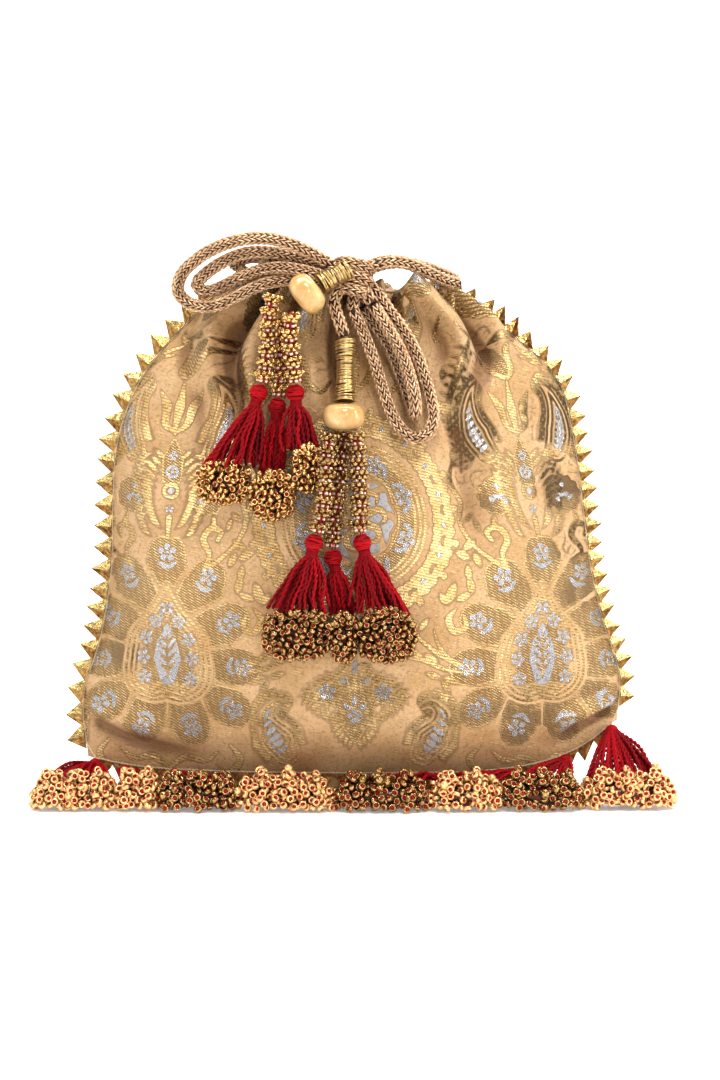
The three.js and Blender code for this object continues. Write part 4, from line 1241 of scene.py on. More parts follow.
cordRoutes = {
    "casing_cord_front": [
        (-39, -1, 208.6), (-32, -4.2, 206.6), (-20, -7.2, 204.5), (-4, -8.2, 204), (12, -7.6, 203.5),
        (24, -5, 203), (31, -1.4, 202.6)],
    "casing_cord_back": [
        (-39, 0.6, 202.6), (-32, 2.4, 202), (-20, 4.8, 202.5), (-4, 5.8, 202.5), (12, 5.2, 201.5),
        (24, 3, 198.6), (31, 0.8, 196.8)],
    "drawcord_left_run": [
        (-48.5, -3.5, 214.5), (-45, -7.5, 218), (-39, -11, 218.8), (-31, -13, 217), (-22, -14.2, 215.3),
        (-11.5, -14.9, 213.2)],
    "drawcord_right_front": [
        (41.5, -2.8, 208.2), (35, -7.6, 210), (28, -12.8, 213.3), (20, -17, 216.4), (13, -19.8, 217),
        (8.2, -21.3, 216)],
    "drawcord_right_back": [
        (41, 5, 209.6), (35, 0, 212.2), (28, -5.4, 214.6), (20, -10, 216.6), (13, -13.4, 216.4),
        (7.2, -15.4, 214.8)],
    "bow_loop_left_outer": [
        (-11, -25.3, 216.4), (-17, -26, 220), (-25, -26.2, 223.6), (-34, -25, 225.8), (-44, -22.5, 225.6),
        (-54, -19.3, 222.8), (-63, -16.2, 217.8), (-69.5, -14, 211.2), (-70.6, -13.8, 205),
        (-66.5, -15.4, 200.6), (-60, -17.6, 199), (-52.5, -20.2, 200.2), (-45, -22.3, 204),
        (-37, -23.3, 207.6), (-28, -23, 209.5), (-19, -22, 209.2), (-11, -20.8, 207.6)],
    "bow_loop_left_inner": [
        (-11, -20.6, 213.4), (-17, -20.8, 215.8), (-25, -20.6, 218.6), (-34, -19.6, 220.4),
        (-44, -17.4, 220), (-52.5, -15, 216.8), (-59.5, -12.8, 212.2), (-63.2, -12.2, 208),
        (-60.5, -13.8, 205.2), (-54.5, -16, 206.2), (-47, -18.6, 209.8), (-39, -20.4, 212.9),
        (-30, -24.4, 214.4), (-20.5, -26.4, 213.2), (-11, -25.3, 210.6)],
    "bow_loop_right_outer": [
        (9.3, -20.5, 204), (13.5, -22.6, 197.6), (18.3, -24.2, 191), (22.8, -25.8, 183.5),
        (26.9, -27.6, 173.6), (29.8, -29.6, 163.3), (31, -31.4, 155.6), (28.8, -32.8, 149.4),
        (23, -33.4, 147.6), (17, -33.2, 152.4), (12.8, -32.2, 161.2), (9.8, -30.8, 170.6),
        (6.8, -28.6, 180), (3.2, -26.6, 189), (-0.6, -25, 197.6)],
    "bow_loop_right_inner": [
        (3.2, -20.8, 198.2), (8, -22, 191.5), (13.2, -23.2, 184.2), (17, -25.2, 175), (20.4, -27, 166),
        (22.4, -29.4, 159.4), (23.4, -33.4, 156.8), (23.8, -37, 159), (23.4, -37.2, 164),
        (21.4, -33.6, 172.4), (18, -31, 181.6), (13, -28.6, 190.6), (7.5, -26.4, 199.6)],
}
cordLook = {
    "diameter": 5.6,
    "wales": 6,
    "stitchPitch": 2.5,
    "legLength": 3.5,
    "legHalfWidth": 0.4,
    "legHalfDepth": 0.7,
    "legLean": 0.28,
    "legSides": 6,
    "legStations": ((-1.0, 0.12), (-0.6, 0.8), (0.0, 1.0), (0.6, 0.8), (1.0, 0.12)),   # place, thickness
    "yarnColour": (1.0, 0.74, 0.49),
    "yarnDarkToneAndShade": (0.27, 0.125, 0.055),
    # the core's colour: painted shade between the stitches
    "gapColour": (0.06, 0.026, 0.014),
}


def knitMaterial():
    paint = Paint("knit cord")
    mark = paint.read("mark")
    spot = paint.place(1000.0)
    grain, fine = paint.noise(spot, 1.3, 3.0), paint.noise(spot, 4.0, 2.0)
    # mark paints shade: legs darker on the side towards the core and at their ends, and the core in the
    # painted shade colour
    tone = (grain.ramp(0.35, 0.7) * 0.4 + mark * 1.7).clip()
    gap = mark.ramp(0.62, 0.85)
    yarn = paint.blend(tone, cordLook["yarnColour"], cordLook["yarnDarkToneAndShade"])
    colour = paint.blend(gap, yarn, cordLook["gapColour"])
    normal = paint.bump(fine, 0.4, 0.0002)
    return paint.finish(colour=colour, metal=0.5 - gap * 0.4, rough=0.2 + fine * 0.16, normal=normal)


def knitAlong(heap, route, seed):     # stitches as pairs of slanting legs, in wales round a core painted dark as the shade between them
    path, length = evenPath(route, 0.5)
    _, side, up = framesAlong(path)
    run = np.linspace(0, length, len(path))
    radius = cordLook["diameter"] / 2 - cordLook["legHalfDepth"]
    # the core, painted dark as the shade between the stitches
    tubeAlong(heap, path, radius - 0.3, 12, 1.0)
    wales, bareEnds = cordLook["wales"], 1.0
    courses = int((length - bareEnds) / cordLook["stitchPitch"])
    pitch = (length - bareEnds) / courses
    grid = np.meshgrid(np.arange(courses), np.arange(wales), (-1, 1), indexing="ij")
    course, wale, leg = (g.ravel() for g in grid)
    rng = np.random.default_rng(seed)
    middle = 0.9 + (course + 0.5 * (wale % 2)) * pitch + rng.normal(0, 0.05, len(course))
    angle = (wale + 0.5) * 2 * math.pi / wales + leg * cordLook["legLean"]
    lean = cordLook["legLean"] * leg
    turn = circle(cordLook["legSides"])
    stations = cordLook["legStations"]
    points = []
    for along, size in stations:
        s = np.clip(middle[:, None] + along * cordLook["legLength"] / 2 + 0 * turn, 0, length)
        width = cordLook["legHalfWidth"] * size / radius
        theta = (angle[:, None] + lean[:, None] * along + width * np.cos(turn))[..., None]
        r = radius + cordLook["legHalfDepth"] * size * np.sin(turn) - 0.16 * along**2
        outward = atRun(run, side, s) * np.cos(theta) + atRun(run, up, s) * np.sin(theta)
        points.append(atRun(run, path, s) + outward * r[..., None])
    points = np.stack(points, 1).reshape(-1, 3)
    each = len(stations) * len(turn)
    quads = gridQuads(len(stations), len(turn), closed=True)
    stitchQuads = (quads[None] + (np.arange(len(course)) * each)[:, None, None]).reshape(-1, 4)
    # painted shade: each leg darker on its side towards the core and at its two ends
    shade = np.array([[0.42 * max(0.0, -math.sin(t) + 0.25) + 0.2 * abs(station[0]) ** 2 for t in turn]
                      for station in stations]).ravel()
    marks = np.repeat(rng.uniform(0, 0.22, len(course)), each) + np.tile(shade, len(course))
    heap.add(points, stitchQuads, mark=np.minimum(marks, 0.6))
    return path, length


def makeCords(material):
    for number, (name, route) in enumerate(cordRoutes.items()):
        heap = Heap()
        if name.startswith("casing"):      # the cloth hides these two, so they have no stitches
            tubeAlong(heap, evenPath(route, 1.0)[0], cordLook["diameter"] / 2 - 0.1, 12, 0.3)
            settle(heap.build("knit_" + name, material), name)
            continue
        path, length = knitAlong(heap, route, number)
        piece = settle(heap.build("knit_" + name, material), name)
        print("cord", name, "%.1f mm" % length)


def makeKnot(material):
    heap = Heap()
    # the knot's body, painted dark as the shade behind its turns
    loftShape(heap, (-1.9, -20.8, 202.6), (-1.1, -21.1, 217.0), roundStations(5.4, 4.6, 8), 14, 1.0)
    turns = [                 # three turns in front, two behind, and where each run and loop goes in
        [(-7.6, -19.5, 214.4), (-6.2, -24.6, 216.2), (-1, -26.6, 216.4), (4.6, -24.6, 214.4),
         (6, -19.4, 212.6)],
        [(-7.2, -18.5, 209.2), (-6.0, -24.8, 211.4), (-1.4, -27.0, 211.6), (4.2, -25.0, 209.6),
         (5.8, -19, 207.8)],
        [(-7.4, -18.8, 204.4), (-6.4, -24.6, 206.4), (-1.8, -26.6, 206.2), (3.8, -24.6, 204.4),
         (5.4, -19.2, 203)],
        [(-7, -17.5, 212), (-2, -14.9, 212.6), (3, -15, 211.8), (5.6, -17.6, 211)],
        [(-7, -17.5, 206), (-2, -14.7, 206.6), (3, -14.9, 205.8), (5.2, -17.6, 205)],
        [(-11.6, -25.3, 216.2), (-7, -24.4, 214.4), (-2.5, -22.6, 212.4)],
        [(-11.6, -25.4, 210.4), (-7, -24.6, 210), (-2.5, -22.6, 209)],
        [(-11.6, -20.8, 213.5), (-7, -20.4, 211.8), (-2.5, -20, 210)],
        [(-11.6, -20.8, 207.6), (-7, -20.4, 207.6), (-2.5, -20, 208)],
        [(-12, -14.8, 213.4), (-7, -15.6, 212.6), (-2.5, -17.4, 211)],
        [(9, -21.5, 216.2), (5, -21.8, 214.8), (1, -21.8, 212)],
        [(8, -15.2, 215), (4, -16, 213.6), (0, -18, 211)],
        [(9.7, -20.3, 203.6), (6, -20.2, 207), (1, -20.4, 209.4)],
        [(-1, -25.1, 197), (-0.4, -23.6, 202), (-0.8, -22, 206)],
        [(2.8, -20.6, 198.8), (1.2, -19.8, 203), (0, -20, 207)],
        [(7.1, -26.2, 200.2), (4.6, -24.8, 204), (1.4, -22.6, 208)],
        [(-8.8, -27.2, 200.4), (-7, -25.6, 204.4), (-4, -23.4, 207.6)],
    ]
    for number, route in enumerate(turns):
        knitAlong(heap, route, 40 + number)
    return settle(heap.build("bow_knot_turns", material), "bow_knot")


def makeTail(material):
    heap = Heap()
    knitAlong(heap, [(-8.6, -27.4, 201), (-6.4, -28.6, 194), (-4.2, -29.4, 187.4)], 60)
    return settle(heap.build("pendant_cord_tail", material), "pendant_tail")


# wire wraps and jade

charms = {
    "wireRadius": 0.34,
    "wirePitch": 0.6,
    "neckRadius": 3.9,
    "ringPoints": 16,
    "necks": [((-2.2, -34.4, 214), (-13.4, -36.4, 208.2)), ((-3.7, -29.6, 185.8), (-4, -34.6, 162))],
    "jadeRadius": 8.3,
    "jadeHalf": 5.2,
    "jadeHole": 1.5,
    "jades": [((-18.7, -37.5, 204.3), (-0.8, 0, -0.6)), ((-4.4, -38, 156.2), (0, 0, -1))],
}


def wireMaterial():
    paint = Paint("gold wire")
    mark = paint.read("mark")
    grain = paint.noise(paint.place(1000.0), 0.7)
    wire = paint.blend(grain.ramp(0.3, 0.7), (0.86, 0.66, 0.34), (0.60, 0.42, 0.18))
    # mark darkens the wire: a little, at random, for single wires; fully for the core, painted dark as the
    # shade between the wires
    colour = paint.blend(mark.clip(), wire, (0.14, 0.08, 0.035))
    return paint.finish(colour=colour, metal=0.9 - mark.clip() * 0.7, rough=0.32)


def makeNeck(number, material):
    start, end = (np.array(p, float) for p in charms["necks"][number])
    axis = end - start
    length = np.linalg.norm(axis)
    way = axis / length
    turn = turned(way)
    heap = Heap()
    core = [start + way * 0.3, (start + end) / 2, end - way * 0.3]
    # the core under the wraps, painted dark as the shade between the wires
    tubeAlong(heap, core, charms["neckRadius"] * 0.8, 12, 1.0)
    wires = int(length / charms["wirePitch"])
    count, sides = charms["ringPoints"], 6
    angle, small = circle(count), circle(sides)[None, :, None]
    rng = np.random.default_rng(70 + number)
    for k in range(wires):
        middle = start + way * (k + 0.5) * length / wires
        tilt = rng.normal(0, 0.09, 2) + (0.1, 0)
        radius = charms["neckRadius"] * (0.9 + 0.1 * math.cos(2 * math.pi * (k + 0.5) / wires))
        local = np.stack([radius * np.cos(angle), radius * np.sin(angle),
                          radius * (tilt[0] * np.cos(angle) + tilt[1] * np.sin(angle))], 1)
        ring = middle + local @ turn.T
        outward = (ring - middle) / np.linalg.norm(ring - middle, axis=1)[:, None]
        wire = ring[:, None] + charms["wireRadius"] * (np.cos(small) * outward[:, None] + np.sin(small) * way)
        grid = gridQuads(count + 1, sides, closed=True) % (count * sides)
        heap.add(wire.reshape(-1, 3), grid, mark=rng.choice([0.0, 0.05, 0.12, 0.4]))
    name = "neck_wrap_%d" % (number + 1)
    return settle(heap.build("wire_" + name, material), name)


def jadeMaterial():
    paint = Paint("jade")
    spot = paint.place(1000.0)
    cloud = paint.noise(spot, 0.085, 4.0, 0.6)
    vein = paint.noise(spot, 0.3, 5.0, 0.7)
    colour = paint.blend(cloud.ramp(0.35, 0.65), (0.76, 0.54, 0.27), (0.60, 0.37, 0.15))
    colour = paint.blend(vein.ramp(0.55, 0.72) * 0.4, colour, (0.93, 0.80, 0.56))
    return paint.finish(colour=colour, rough=0.17, scatter=0.22, scatterRadius=(1.0, 0.6, 0.3),
                        scatterScale=0.004, coat=0.5, coatRough=0.06)


def makeJade(number, material):
    place, way = charms["jades"][number]
    half, outer, hole = charms["jadeHalf"], charms["jadeRadius"], charms["jadeHole"]
    profile = []
    for k in range(25):
        angle = math.pi * k / 24
        profile.append((hole + (outer - hole) * math.sin(angle) ** 0.62, -half * math.cos(angle)))
    profile += [(hole, half * 0.5), (hole, 0), (hole, -half * 0.5)]
    around = 48
    quads = gridQuads(len(profile) + 1, around, closed=True) % (len(profile) * around)
    heap = Heap()
    heap.add(spun(np.array(profile), around) @ turned(way).T + np.array(place), quads)
    name = "jade_bead_%d" % (number + 1)
    return settle(heap.build("jade_%d" % (number + 1), material), name)


# pendants: beaded strands, thread tassels and clusters

pendants = {
    "pendant_1": [
        {"strand": [(-31.6, -38.6, 204), (-33.4, -39, 196), (-34, -38.4, 184), (-36.2, -37.6, 169.6)],
         "head": (-36.8, -37.6, 168.8), "skirt": (-45.4, -37.6, 139.4), "flare": (12.4, 3),
         "cluster": (-51.7, -35.6, 129.8), "half": (10.2, 5.6, 8.4)},
        {"strand": [(-24.6, -44.4, 196.6), (-25.2, -43.4, 190), (-24.4, -41, 180), (-23.4, -39.4, 169.6)],
         "head": (-23.6, -39.6, 168.8), "skirt": (-21.8, -40, 145.6), "flare": (7.2, 3),
         "cluster": (-18.7, -39.6, 135.2), "half": (5.1, 5.4, 9.2)},
        {"strand": [(-28.2, -32.8, 195), (-28.8, -32.4, 184), (-29.6, -31.8, 173), (-30, -31.4, 164)],
         "head": (-30.4, -31.8, 163.2), "skirt": (-32.6, -33.4, 136), "flare": (5, 0.9),
         "cluster": (-32.6, -37.8, 124.6), "half": (8.2, 5.4, 9.6)},
    ],
    "pendant_2": [
        {"strand": [(-9.6, -42.6, 149.6), (-11, -45.6, 138), (-12, -48.2, 125), (-14.6, -49.2, 111.4)],
         "head": (-15.2, -49.2, 110.6), "skirt": (-21.2, -47, 82.4), "flare": (12.6, 3),
         "cluster": (-22.9, -45.6, 71), "half": (13.2, 5.8, 10.6)},
        {"strand": [(0.8, -42, 149.6), (1.4, -43.6, 138), (1.8, -45.4, 125), (1.9, -47.2, 111.4)],
         "head": (2.1, -47.8, 110.6), "skirt": (8.6, -47, 82.4), "flare": (12.4, 3),
         "cluster": (12.3, -45.6, 70.6), "half": (11.5, 5.8, 10.8)},
        {"strand": [(-4.4, -35.2, 149.4), (-5.6, -37.8, 135), (-7.6, -40.2, 120), (-9, -41.8, 105)],
         "head": (-9.2, -42.4, 104.2), "skirt": (-4.6, -41.8, 81), "flare": (5, 1.2),
         "cluster": (-4.5, -45.4, 69.4), "half": (4.6, 5.6, 10)},
    ],
}
beadLook = {
    "ringBead": (1.12, 0.4, 1.8),       # outer radius, hole radius, height
    "ringRadius": 3.1,
    "ringCount": 8,
    "ringPitch": 4.7,
    "waistBead": (0.86, 0.3, 1.5),
    "clusterBead": (1.42, 0.6, 1.9),
    "fringeBead": (1.72, 0.74, 2.1),
    "tasselCords": 32,
    "tasselCordRadius": 0.86,
    "threadPitch": 5.0,
    "pileTries": 3000,
    "pilePower": 2.5,                   # how square a bead cluster is
    "heapTries": 5200,
    "heapFloor": 1.9,
    "strayCount": 26,
}


def beadMaterial(name, light, shade, shine=0.88):
    paint = Paint(name)
    mark = paint.read("mark")
    patina = paint.noise(paint.place(1000.0), 0.55, 3.0)
    gold = paint.blend(patina.ramp(0.35, 0.7), light, shade)
    isRed, isDark, isSilver = (1.0 - (mark - tone).absolute().clip() for tone in (1.0, 2.0, 3.0))
    colour = paint.blend(isRed, gold, (0.36, 0.008, 0.014))
    # mark 2: the bodies inside clusters and heaps, painted dark as the shade between the beads
    colour = paint.blend(isDark, colour, (0.10, 0.022, 0.010))
    colour = paint.blend(isSilver, colour, (0.88, 0.66, 0.50))
    metal = shine * (1.0 - isRed).least(1.0 - isDark) - isSilver * 0.3
    return paint.finish(colour=colour, metal=metal.clip(), rough=0.16 + patina * 0.16)


def threadMaterial():
    paint = Paint("red thread")
    mark = paint.read("mark")
    grain = paint.noise(paint.place(1000.0), 1.8, 3.0)
    # mark darkens the red: at random per cord, and as painted shade in the grooves and under the wound head
    red = paint.blend(mark.clip(), (0.50, 0.003, 0.012), (0.12, 0.001, 0.004))
    colour = paint.blend(grain.ramp(0.4, 0.8) * 0.3, red, (0.60, 0.01, 0.02))
    return paint.finish(colour=colour, rough=0.6, normal=paint.bump(grain, 0.4, 0.0003), specular=0.25)


def twistedCord(heap, path, radius, mark, phase):   # two plies, as a grooved section that turns, with painted shade in the grooves
    line, length = evenPath(path, 0.62)
    _, side, up = framesAlong(line)
    turn = np.linspace(0, length / beadLook["threadPitch"] * 2 * math.pi, len(line)) + phase
    angle = circle(8)
    lobe = 0.5 + 0.5 * np.abs(np.cos(angle))
    theta = (angle[None] + turn[:, None])[..., None]
    ring = (side[:, None] * np.cos(theta) + up[:, None] * np.sin(theta)) * (radius * lobe)[None, :, None]
    # painted shade: darker in the grooves between the plies
    grooveShade = 0.45 * (1 - np.abs(np.cos(angle)))
    quads = gridQuads(len(line), len(angle), closed=True)
    heap.add((line[:, None] + ring).reshape(-1, 3), quads, mark=np.tile(mark + grooveShade, len(line)))


def dropBeads(heap, places, axes, bead, around=8, profile=4, core=True, mark=0.0):
    points, quads = beadShape(*bead, around, profile)
    for k, (place, axis) in enumerate(zip(places, axes)):
        turn = turned(axis, k)
        heap.add(points @ turn.T + place, quads, mark=mark)
        if core:
            radius = bead[1] * 1.7
            tip, tipQuads, tipTris = ballShape(radius, 5, 3)
            tip = tip * (1, 1, bead[2] / 2 / radius * 1.15)
            heap.add(tip @ turn.T + place, tipQuads, tipTris, 1.0)


def isFree(placed, spot, gap):        # whether a bead at the spot stands clear of those placed
    return not len(placed) or np.linalg.norm(placed - spot, axis=1).min() >= gap


def beadPile(heap, centre, half, bead, rng):     # a bunch of beads held by threads
    placed, axes = np.zeros((0, 3)), []
    gap = bead[0] * 1.46
    inner = half - bead[0] * 0.8
    tries, power = beadLook["pileTries"], beadLook["pilePower"]
    for k in range(tries):
        way = rng.normal(0, 1, 3) * half
        way /= np.linalg.norm(way)
        reach = (np.abs(way / inner) ** power).sum() ** (-1 / power)
        share = (1.0, 0.8, 0.95)[k % 3] if k < tries * 0.8 else 0.7
        spot = centre + way * reach * share
        if isFree(placed, spot, gap):
            placed = np.vstack([placed, spot])
            axes.append(rng.normal((0, -0.4, 0.2), (0.8, 0.7, 0.6)))
    dropBeads(heap, placed, axes, bead)


def beadHeap(heap, centre, half, bead, rng):     # a long uneven heap lying on the ground
    placed, axes = np.zeros((0, 3)), []
    gap = bead[0] * 1.42
    wide, deep, high = half - bead[0]
    low = beadLook["heapFloor"]
    waves = rng.uniform(0, 6.28, 3)
    for k in range(beadLook["heapTries"]):
        u = rng.uniform(-1, 1)
        swell = 0.92 + 0.1 * math.sin(9 * u * half[0] / 16 + waves[0]) + 0.07 * math.sin(21 * u + waves[1])
        swell *= (1 - abs(u) ** 7) ** 0.5
        angle = rng.uniform(-0.25, 1.1) * math.pi
        layer = (1.0, 0.93, 0.8)[k % 3]
        rise = 2 * max(0, math.sin(angle)) ** 0.8 * swell * layer - 1
        spot = centre + (u * wide, -deep * math.cos(angle) * swell * layer, high * max(-1.0, rise))
        if angle < 0:
            spot[2] = rng.uniform(low, half[2])
        spot[2] = max(spot[2], low)
        if isFree(placed, spot, gap):
            placed = np.vstack([placed, spot])
            axes.append(rng.normal(0, 0.62, 3) + (0, -0.8, 0.35))
    dropBeads(heap, placed, axes, bead)
    ball, quads, tris = ballShape(1.7, 10, 8)
    for spot in placed[rng.integers(0, len(placed), 5)]:
        heap.add(ball + spot + (0, -0.6, 0.8), quads, tris, 0.0)


def makeStrand(pendant, number, leg, material):
    heap = Heap()
    path, length = evenPath(leg["strand"], 0.5)
    frames = (path, *framesAlong(path))
    tubeAlong(heap, path, 1.35, 8, 1.0)
    rng = np.random.default_rng(100 + number)
    count = int(length / beadLook["ringPitch"])
    pitch = length / count
    run = np.linspace(0, length, len(path))
    for k in range(count):
        for share, ringRadius, total in ((0.2, beadLook["ringRadius"], beadLook["ringCount"]), (0.5, 2.5, 7)):
            s = (k + share + rng.uniform(-0.05, 0.05)) * pitch
            radius = ringRadius * rng.uniform(0.88, 1.12)
            place, way, side, up = (atRun(run, values, s) for values in frames)
            for j in range(total):
                angle = (j + 0.5 * (k % 2)) * 2 * math.pi / total + rng.normal(0, 0.06)
                outward = side * math.cos(angle) + up * math.sin(angle)
                spot = place + outward * (radius + rng.normal(0, 0.22)) + way * rng.normal(0, 0.3)
                axis = way + outward * rng.normal(0, 0.5)
                dropBeads(heap, [spot], [axis], beadLook["ringBead"], 7, 5, False)
        place, way, side, up = (atRun(run, values, (k + 0.84) * pitch) for values in frames)
        for j in range(5):
            angle = (j + 0.3 * k) * 2 * math.pi / 5
            outward = side * math.cos(angle) + up * math.sin(angle)
            dropBeads(heap, [place + outward * 1.9], [way], beadLook["waistBead"], 7, 5, False, 3.0)
            if j in (0, 3):
                near, climb = place + outward * 2.5, way * 1.6
                tubeAlong(heap, [near - climb, place + outward * 2.9, near + climb], 0.2, 4, 1.0)
    name = "%s_strand_%d" % (pendant, number)
    return settle(heap.build("strand_" + name[8:], material), name)


def makeTassel(pendant, number, leg, material):
    heap = Heap()
    head, cluster = np.array(leg["head"], float), np.array(leg["cluster"], float)
    half = leg["half"]
    rng = np.random.default_rng(200 + number + (10 if pendant == "pendant_2" else 0))
    skirt, flare = np.array(leg["skirt"], float), leg["flare"]
    down = skirt - head
    down /= np.linalg.norm(down)
    middle = head + down * 3.4
    ball, quads, tris = ballShape(3.0, 14, 12)
    # the ball under the wound thread, painted dark as the shade between the turns
    heap.add(ball + middle, quads, tris, 0.8)
    for k in range(13):              # the thread wound round the head
        tilt = turned(down + rng.normal(0, 0.16, 3))
        offset = -2.7 + 5.4 * k / 12
        radius = math.sqrt(max(0.3, 3.3**2 - offset**2))
        angle = np.linspace(0, 2 * math.pi, 15)
        ring = np.stack([radius * np.cos(angle), radius * np.sin(angle), np.full(15, offset)], 1)
        tubeAlong(heap, ring @ tilt.T + middle, 0.42, 5, rng.uniform(0, 0.5), False)
    neck = head + down * 6.6
    for k in range(4):
        angle = np.linspace(0, 2 * math.pi, 13)
        ring = np.stack([2.1 * np.cos(angle), 2.1 * np.sin(angle), np.full(13, k * 0.62)], 1)
        tubeAlong(heap, ring @ turned(down).T + neck, 0.36, 5, 0.6, False)
    start = neck + down * 1.6
    for k in range(beadLook["tasselCords"]):
        angle = k * 2.399 + 0.4
        share = math.sqrt((k + 0.5) / beadLook["tasselCords"])
        first = start + np.array([1.5 * math.cos(angle) * share, 1.5 * math.sin(angle) * share, 0])
        spread = math.cos(angle) * share
        end = skirt + (flare[0] * 1.02 * spread, flare[1] * 1.3 * math.sin(angle) * share,
                       rng.uniform(-3.5, 0.5) + (cluster[2] + half[2] - skirt[2]) * 0.2)
        end[0] += 0.35 * (cluster[0] - skirt[0])
        bulge = (first + end) / 2 + (end - first) * rng.uniform(-0.1, 0.05)
        bulge += np.array([spread * 1.2 + rng.normal(0, 0.5), math.sin(angle) * 1.2 * share, 0])
        quarter = (first + bulge) / 2 + (spread * 0.8 + rng.normal(0, 0.35), -0.3, 0)
        low = (bulge + end) / 2 + (rng.normal(0, 0.7), rng.normal(0, 0.3), 0)
        line = [first, quarter, bulge, low, end]
        twistedCord(heap, line, beadLook["tasselCordRadius"], rng.uniform(0, 0.75), 5 * angle)
    name = "%s_tassel_%d" % (pendant, number)
    return settle(heap.build("threads_" + name[8:], material), name)


def makeCluster(pendant, number, leg, material):
    heap = Heap()
    centre, half = np.array(leg["cluster"], float), np.array(leg["half"], float) + (1.3, 0.5, 0)
    rng = np.random.default_rng(300 + number + (10 if pendant == "pendant_2" else 0))
    # a body painted dark inside the cluster, as the shade between its beads
    loftShape(heap, centre + (0, 0.8, half[2] * 0.66), centre - (0, -0.8, half[2] * 0.66),
              roundStations(half[0] * 0.56, half[1] * 0.42, 6, 0.8), 12, 2.0)
    beadPile(heap, centre + (0, 0, -0.4), half, beadLook["clusterBead"], rng)
    strays, axes = [], []
    for _ in range(beadLook["strayCount"]):        # beads that ride higher up the threads
        t = rng.uniform(-1, 1)
        strays.append(centre + (t * half[0] * 0.9, -half[1] * rng.uniform(0.5, 0.8),
                                half[2] * (0.95 - 0.4 * t * t) + rng.uniform(-2.4, 1.6)))
        axes.append(rng.normal(0, 0.7, 3) + (0, -0.3, 0.6))
    dropBeads(heap, strays, axes, beadLook["clusterBead"])
    name = "%s_beads_%d" % (pendant, number)
    return settle(heap.build("cluster_" + name[8:], material), name)


# fringe: thread tassels under the bottom seam, their beads lying on the ground

fringe = [
    {"x": -111, "width": 33, "y": -33, "seamX": -107},
    {"x": -86.4, "width": 14.5, "y": -34, "seamX": -88},
    {"x": -62.5, "width": 31, "y": -35, "seamX": -64},
    {"x": -27.5, "width": 37, "y": -36, "seamX": -28},
    {"x": 10.5, "width": 36, "y": -36, "seamX": 10},
    {"x": 43.5, "width": 27, "y": -35.5, "seamX": 42},
    {"x": 73.5, "width": 30.5, "y": -34, "seamX": 72},
    {"x": 108.5, "width": 36, "y": -31, "seamX": 104},
]
fringeLook = {
    "depth": 17.0,
    "height": 15.0,
    "dark": (2, 4, 6),        # the heaps of dark beads, counted from 0
    "cords": 16,
    "cornerCords": 34,
    "cordRadius": 0.9,
}


def makeFringe(thread, light, dark):
    pieces = []
    half = fringeLook["depth"] / 2
    for i, spec in enumerate(fringe):
        rng = np.random.default_rng(400 + i)
        x, width, y = spec["x"], spec["width"], spec["y"]
        beads = Heap()
        centre = np.array([x, y - 3, fringeLook["height"] / 2])
        size = np.array([width / 2, half, fringeLook["height"] / 2])
        # a body painted dark inside the heap, as the shade between its beads
        loftShape(beads, (x - width * 0.4, y - 3, 5.6), (x + width * 0.4, y - 3, 5.6),
                  roundStations(4.4, half * 0.62, 6, 0.6), 10, 2.0)
        beadHeap(beads, centre + (0, 0, 0.8), size + (2.4, 0.8, 1.2), beadLook["fringeBead"], rng)
        isDark = i in fringeLook["dark"]
        name = "fringe_beads_%d" % (i + 1)
        piece = beads.build("ground_beads_%d" % (i + 1), dark if isDark else light)
        pieces.append(settle(piece, name))
        cords = Heap()
        seam = splineAt(pouch["bottomSeam"], np.clip((spec["seamX"] + 109) / 216, 0.02, 0.98))[0]
        start = np.array([seam[0], seam[1] - 4.4, max(seam[2] - 1.5, 9)])
        cordCount = fringeLook["cornerCords" if i in (0, len(fringe) - 1) else "cords"]
        for k in range(cordCount):
            t = (k + 0.5) / cordCount * 2 - 1
            first = start + np.array([t * 1.8, rng.uniform(-0.8, 0.8), 0])
            end = np.array([x + t * width * 0.44 + rng.normal(0, 0.8), y + 2 + rng.uniform(-4, 1),
                            rng.uniform(9, 12)])
            middle = (first + end) / 2 + (rng.normal(0, 0.8), -1.2, 1.6 + rng.normal(0, 0.5))
            twistedCord(cords, [first, middle, end], fringeLook["cordRadius"], rng.uniform(0, 0.6), k)
        ball, quads, tris = ballShape(2.5, 12, 10)
        cords.add(ball * (1, 0.8, 0.8) + start, quads, tris, 0.3)
        piece = cords.build("fringe_threads_%d" % (i + 1), thread)
        pieces.append(settle(piece, "fringe_tassel_%d" % (i + 1)))
    return pieces


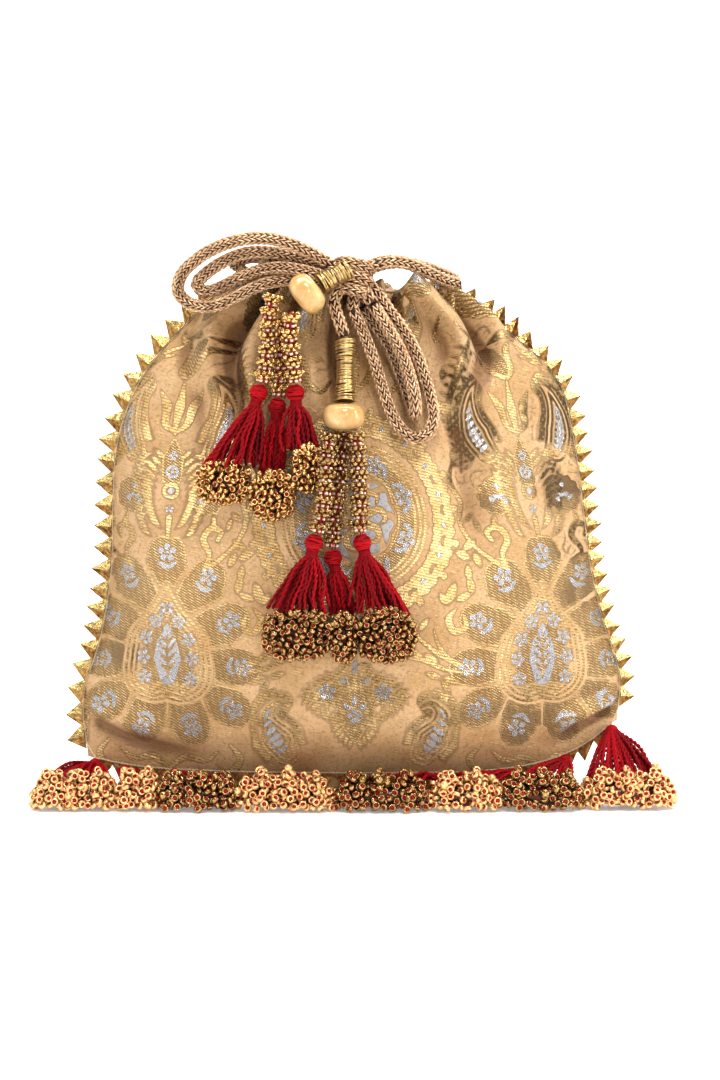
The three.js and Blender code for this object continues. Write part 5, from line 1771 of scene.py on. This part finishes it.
def makeStage():                      # a wide round floor that sweeps up to a low wall
    paint = Paint("floor")
    near, far = ((studio[name],) * 3 for name in ("floorGlow", "wallGlow"))
    glow = paint.blend(paint.read("glow"), near, far)
    material = paint.finish(colour=studio["floor"], rough=0.9, specular=0.1, glow=glow, glowStrength=1.0)
    reach, bend, around = studio["floorReach"], studio["wallBend"], 96
    turn = np.linspace(0.1, math.pi / 2, 12)
    profile = [(1.0, 0.0)] + [(r, 0.0) for r in np.linspace(200, reach - bend, 22)]
    profile += [(reach - bend + bend * math.sin(a), bend - bend * math.cos(a)) for a in turn]
    profile.append((reach, studio["wallTop"]))
    points = spun(np.array(profile), around)
    away = np.hypot(points[:, 0], points[:, 1])
    behind = np.clip(points[:, 1] / np.maximum(away, 1) * 3, 0, 1)
    glows = np.clip((away - 300) / 900, 0, 1) * behind
    glows = np.maximum(glows, np.clip((away - 2200) / 1400, 0, 1))
    quads = gridQuads(len(profile), around, closed=True)
    centre = [(0, k + 1, k) for k in range(1, around - 1)]
    meshPiece("floor", points - shift, [quads], [centre], material, {"glow": glows})


# making the scene

makeCamera()
loom = drawBrocade()
print("brocade drawn")
cloth = brocadeMaterial()
frontPiece, frontArea = makePanel("front", loom, cloth)
backPiece, backArea = makePanel("back", loom, cloth)
liningPiece = makeLining()
print("panels: front %.4f m2, back %.4f m2" % (frontArea, backArea))
seamPiece = makeSeamCord()
gotaPieces = makeGota()
knit = knitMaterial()
wire, jade, thread = wireMaterial(), jadeMaterial(), threadMaterial()
lightGold = beadMaterial("gold beads", (0.95, 0.66, 0.34), (0.74, 0.46, 0.21), 0.55)
richGold = beadMaterial("strand beads", (0.84, 0.60, 0.28), (0.48, 0.30, 0.11))
antiqueGold = beadMaterial("antique beads", (0.60, 0.41, 0.19), (0.26, 0.155, 0.06))
knotPiece, tailPiece = makeKnot(knit), makeTail(knit)
hanging = [[makeNeck(number, wire), makeJade(number, jade)] for number in (0, 1)]
for pieces, (pendant, legs) in zip(hanging, pendants.items()):
    gold = richGold if pendant == "pendant_1" else antiqueGold
    for number, leg in enumerate(legs, 1):
        pieces += [makeStrand(pendant, number, leg, gold), makeTassel(pendant, number, leg, thread),
                    makeCluster(pendant, number, leg, gold)]
print("pendants made")
makeCords(knit)
fringePieces = makeFringe(thread, lightGold, antiqueGold)
print("cords and fringe made")


makeStage()
for light in studio["lights"]:
    makeLight(*light)
world = bpy.data.worlds.new("studio")
bpy.context.scene.world = world
world.use_nodes = True
sky = world.node_tree.nodes["Background"].inputs
sky["Color"].default_value = (*studio["world"], 1)
sky["Strength"].default_value = studio["worldStrength"]
view = bpy.context.scene.view_settings
view.view_transform = "Standard"
view.gamma = studio["gamma"]
view.exposure = studio["exposure"]
print("stage and lights made")
